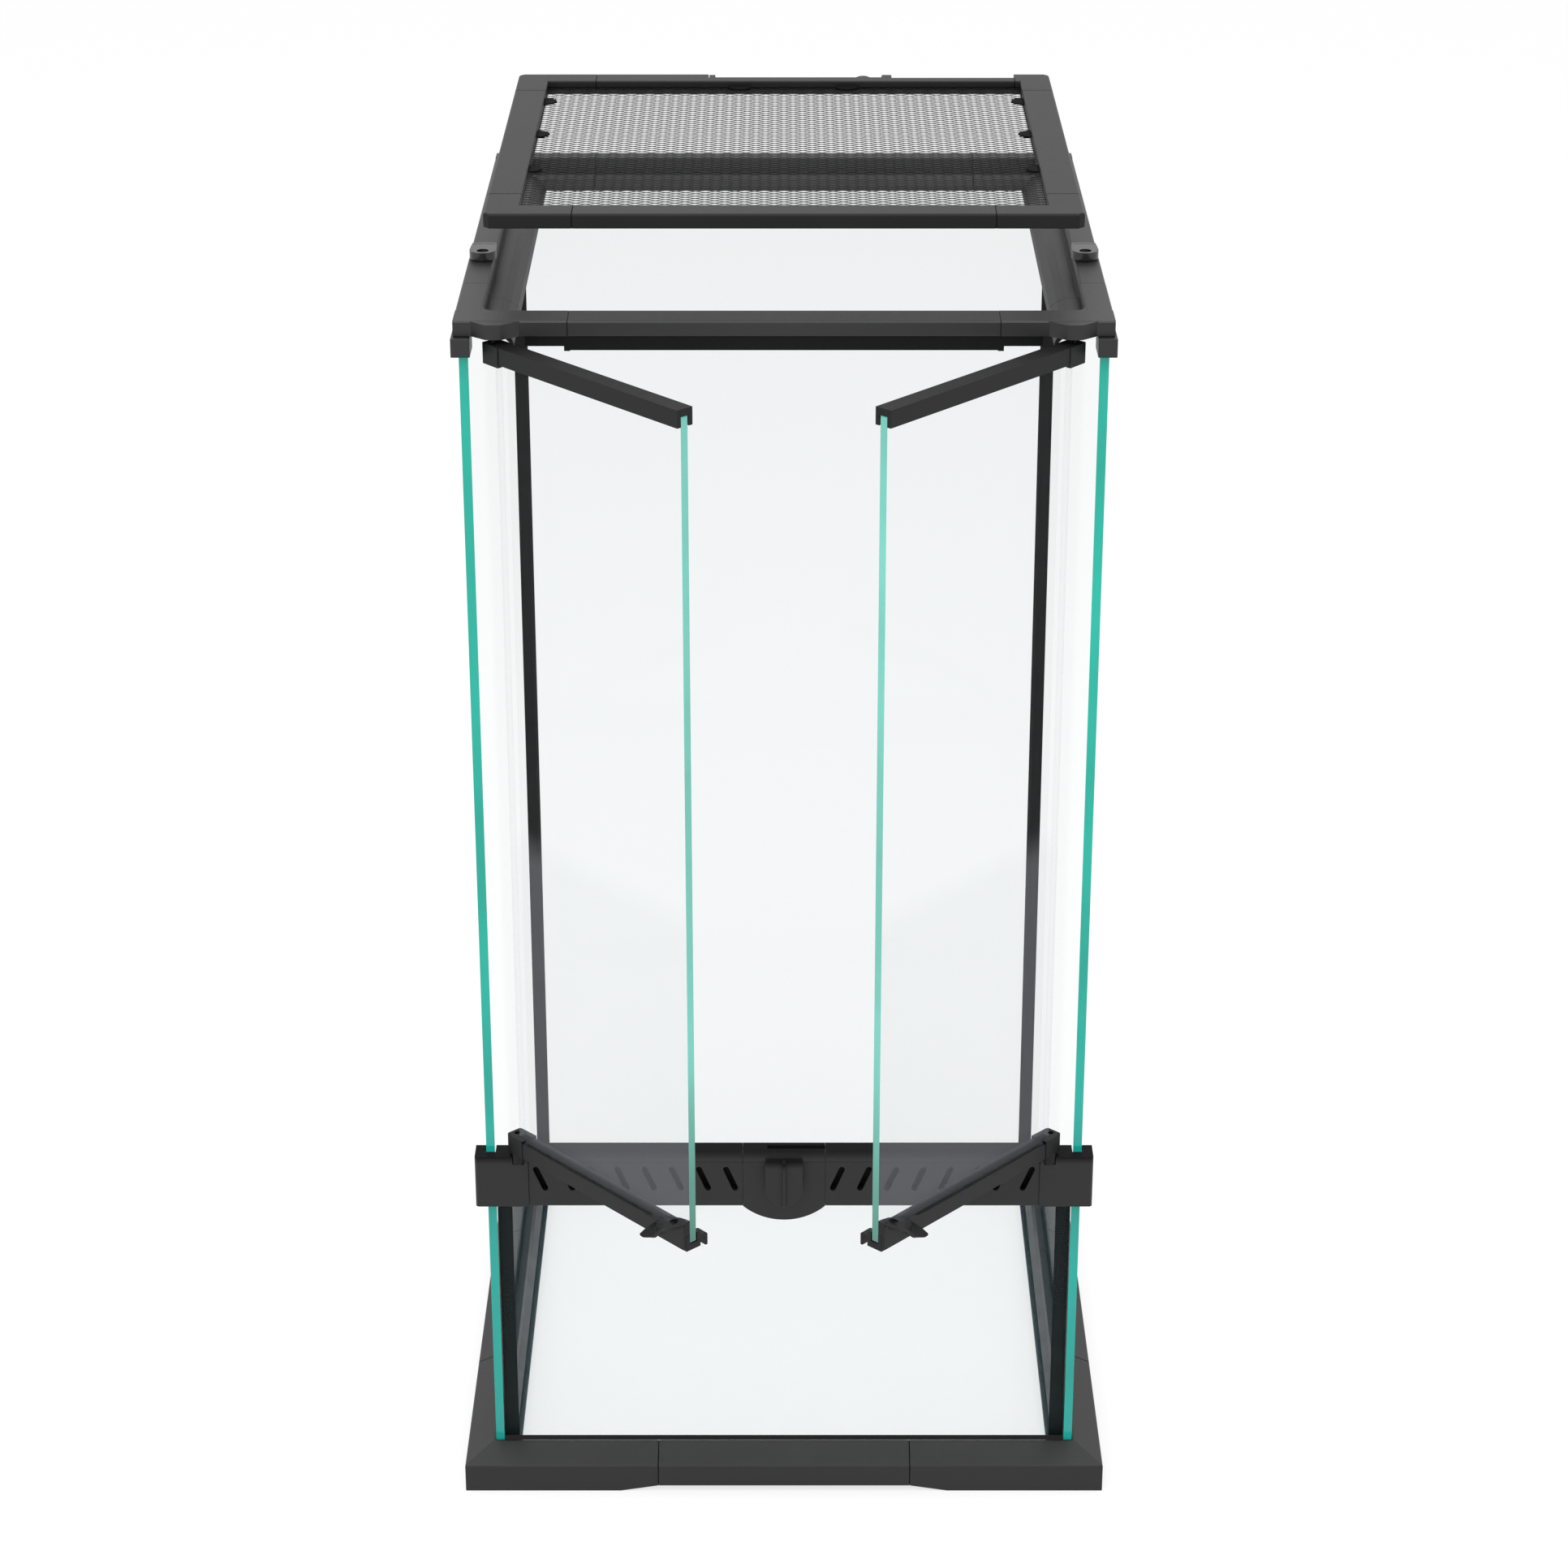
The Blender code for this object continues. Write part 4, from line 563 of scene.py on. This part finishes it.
def door_gaskets(side, sign, material):
    """Black gaskets on both sides of a door's pane, along the top of its lower channel."""
    joints = frame["record"]["behaviour"]["joints"]
    hinge = next(Vector(joint["pos_m"]) for joint in joints if joint["name"] == f"door_{side}_hinge")
    along, across = door_directions(sign)
    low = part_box(f"door_{side}_lower_channel")[1].z - BLOCK_RISE + BEAD_CLEAR
    far = GASKET_NEAR + GASKET_WIDE
    corners = (
        (GASKET_START, GASKET_NEAR),
        (GASKET_END, GASKET_NEAR),
        (GASKET_END, far),
        (GASKET_START, far),
    )
    shape = bmesh.new()
    for facing in (1, -1):
        outline = [hinge + along * run + across * facing * out for run, out in corners]
        lower = [(point.x, point.y, low) for point in outline]
        upper = [(point.x, point.y, low + GASKET_THICK) for point in outline]
        add_prism(shape, lower, upper)
    piece_from(f"door_{side}_gaskets", shape, material, f"door_{side}")


def screen():
    """The expanded metal of the cover, as a staggered net of rounded diamond openings."""
    low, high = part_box("cover_mesh")
    middle = (low + high) / 2
    columns = round((high.x - low.x) / OPENING_WIDE)
    rows = round((high.y - low.y) / OPENING_DEEP)
    half_x = (high.x - low.x) / columns / 2
    half_y = (high.y - low.y) / rows / 2
    hole_x = half_x - BOND
    hole_y = half_y - STRAND
    corners = ((1, 0), (0.5, 0.5), (0, 1), (-0.5, 0.5), (-1, 0), (-0.5, -0.5), (0, -1), (0.5, -0.5))
    net = bmesh.new()
    made = {}

    def shared(column, row):
        """The point at a place counted in half openings, made once for the cells that meet there."""
        if (column, row) not in made:
            made[column, row] = net.verts.new((column * half_x, row * half_y, 0))
        return made[column, row]

    for row in range(-rows + 1, rows):
        for column in range(-columns + 1, columns):
            if (row + column) % 2 == 0:
                continue
            outer = [shared(column + a, row + b) for a, b in corners]
            inner = []
            for a, b in corners:
                swell = OPENING_SWELL if abs(a) == 0.5 else 1.0
                x = column * half_x + a * hole_x * swell
                y = row * half_y + b * hole_y * swell
                inner.append(net.verts.new((x, y, 0)))
            for here in range(len(corners)):
                there = (here + 1) % len(corners)
                net.faces.new((outer[here], outer[there], inner[there], inner[here]))
    coating = moulded_plastic("screen_coating", SCREEN_BLACK, DULL_SHINE, SCREEN_ROUGHNESS)
    piece = piece_from("screen", net, coating, "cover", (middle.x, middle.y, high.z))
    thicken(piece, SCREEN_THICK, -1)
    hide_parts("cover_mesh")


def half_round(name, centre, facing, material):
    """A flat half disc that reaches from the cover's frame in the direction that it faces."""
    ring = []
    for step in range(CLIP_STEPS + 1):
        angle = facing + math.pi * (step / CLIP_STEPS - 0.5)
        ring.append((CLIP_RADIUS * math.cos(angle), CLIP_RADIUS * math.sin(angle)))
    shape = bmesh.new()
    add_prism(shape, [(x, y, 0) for x, y in ring], [(x, y, CLIP_THICK) for x, y in ring])
    piece = piece_from(name, shape, material, "cover", centre)
    bevel = piece.modifiers.new("round", "BEVEL")
    bevel.width = CLIP_ROUND
    bevel.segments = ROUND_SEGMENTS
    bevel.limit_method = "ANGLE"


def screen_clips():
    """Black tabs that hold the screen's edge down inside the cover's frame."""
    black = moulded_plastic("clip_black", CLIP_BLACK, MATT_SHINE, MATT_ROUGHNESS)
    side_low, side_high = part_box("cover_bar_left")
    left = side_high.x
    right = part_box("cover_bar_right")[0].x
    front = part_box("cover_bar_front")[1].y
    rear = side_high.y + REAR_CLIP_SETBACK
    middle = (side_low.y + side_high.y) / 2 + SIDE_CLIP_SHIFT
    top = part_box("cover_mesh")[1].z + CLIP_RAISE
    for number, place in enumerate((-SIDE_CLIP_SPREAD, 0.0, SIDE_CLIP_SPREAD)):
        along = middle + place
        half_round(f"screen_clip_left_{number}", (left, along, top), 0, black)
        half_round(f"screen_clip_right_{number}", (right, along, top), math.pi, black)
    for name, across in (("left", REAR_CLIP_LEFT), ("right", REAR_CLIP_RIGHT)):
        half_round(f"screen_clip_rear_{name}", (across, rear, top), -math.pi / 2, black)
    for name, across, facing in (("left", left, math.pi / 4), ("right", right, math.pi * 3 / 4)):
        half_round(f"screen_clip_front_{name}", (across, front, top), facing, black)


def seen_directly(owner, level):
    """A value of level for rays from the camera, a gloss or a clear pane, and 0 for the others."""
    links = owner.node_tree.links
    kinds = ("ShaderNodeLightPath", "ShaderNodeMath", "ShaderNodeMath", "ShaderNodeMath")
    path, first, second, strength = add_nodes(owner, *kinds)
    first.operation = "MAXIMUM"
    second.operation = "MAXIMUM"
    strength.operation = "MULTIPLY"
    strength.inputs[1].default_value = level
    links.new(path.outputs["Is Camera Ray"], first.inputs[0])
    links.new(path.outputs["Is Glossy Ray"], first.inputs[1])
    links.new(first.outputs["Value"], second.inputs[0])
    links.new(path.outputs["Is Transmission Ray"], second.inputs[1])
    links.new(second.outputs["Value"], strength.inputs[0])
    return strength.outputs["Value"]


def studio_floor():
    mesh = bpy.data.meshes.new("studio_floor")
    corners = ((-1, -1), (1, -1), (1, 1), (-1, 1))
    mesh.from_pydata([(x * FLOOR_HALF, y * FLOOR_HALF, 0) for x, y in corners], [], [(0, 1, 2, 3)])
    floor = bpy.data.objects.new("studio_floor", mesh)
    bpy.context.scene.collection.objects.link(floor)
    material, shader, links = new_material("studio_floor")
    shader.inputs["Base Color"].default_value = (FLOOR_ALBEDO, FLOOR_ALBEDO, FLOOR_ALBEDO, 1)
    shader.inputs["Roughness"].default_value = 1.0
    shader.inputs["Specular IOR Level"].default_value = 0.0
    shader.inputs["Emission Color"].default_value = (1, 1, 1, 1)
    links.new(seen_directly(material, FLOOR_LIFT), shader.inputs["Emission Strength"])
    mesh.materials.append(material)


def studio_world():
    world = bpy.data.worlds.new("studio")
    bpy.context.scene.world = world
    world.use_nodes = True
    background = world.node_tree.nodes["Background"]
    background.inputs["Color"].default_value = (1, 1, 1, 1)
    level = add_nodes(world, "ShaderNodeMath")[0]
    level.operation = "ADD"
    level.inputs[1].default_value = WORLD_LEVEL
    world.node_tree.links.new(seen_directly(world, 1.0 - WORLD_LEVEL), level.inputs[0])
    world.node_tree.links.new(level.outputs["Value"], background.inputs["Strength"])


def softbox(name, place, size, power):
    data = bpy.data.lights.new(name, "AREA")
    data.shape = "SQUARE"
    data.size = size
    data.energy = power
    lamp = bpy.data.objects.new(name, data)
    bpy.context.scene.collection.objects.link(lamp)
    lamp.location = place
    lamp.rotation_euler = (Vector(LIT_POINT) - Vector(place)).to_track_quat("-Z", "Y").to_euler()


def camera():
    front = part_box("top_bar_front")[0].y
    data = bpy.data.cameras.new("camera")
    data.sensor_width = SENSOR
    data.lens = SENSOR * FOCAL_PIXELS / IMAGE_SIZE
    made = bpy.data.objects.new("camera", data)
    bpy.context.scene.collection.objects.link(made)
    made.location = (0, front - CAMERA_BACK, CAMERA_HEIGHT)
    made.rotation_euler = (math.radians(90) - CAMERA_PITCH, 0, 0)
    bpy.context.scene.camera = made


def main():
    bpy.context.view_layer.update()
    bpy.context.scene.view_settings.view_transform = "Standard"
    bpy.context.scene.cycles.transparent_max_bounces = CLEAR_SURFACES
    camera()
    studio_floor()
    studio_world()
    softbox("top_softbox", TOP_LIGHT_PLACE, TOP_LIGHT_SIZE, TOP_LIGHT_POWER)
    softbox("front_softbox", FRONT_LIGHT_PLACE, FRONT_LIGHT_SIZE, FRONT_LIGHT_POWER)
    finish_plastics()
    finish_seals()
    finish_glass()
    # Dark sheets in the fine gaps between the bars, as painted shade
    seams(moulded_plastic("painted_seam_shade", SEAM_SHADE_AND_GASKET_BLACK, DULL_SHINE, MATT_ROUGHNESS))
    gasket = moulded_plastic("gasket_black", SEAM_SHADE_AND_GASKET_BLACK, DULL_SHINE, MATT_ROUGHNESS)
    door_gaskets("left", 1, gasket)
    door_gaskets("right", -1, gasket)
    screen()
    screen_clips()


main()
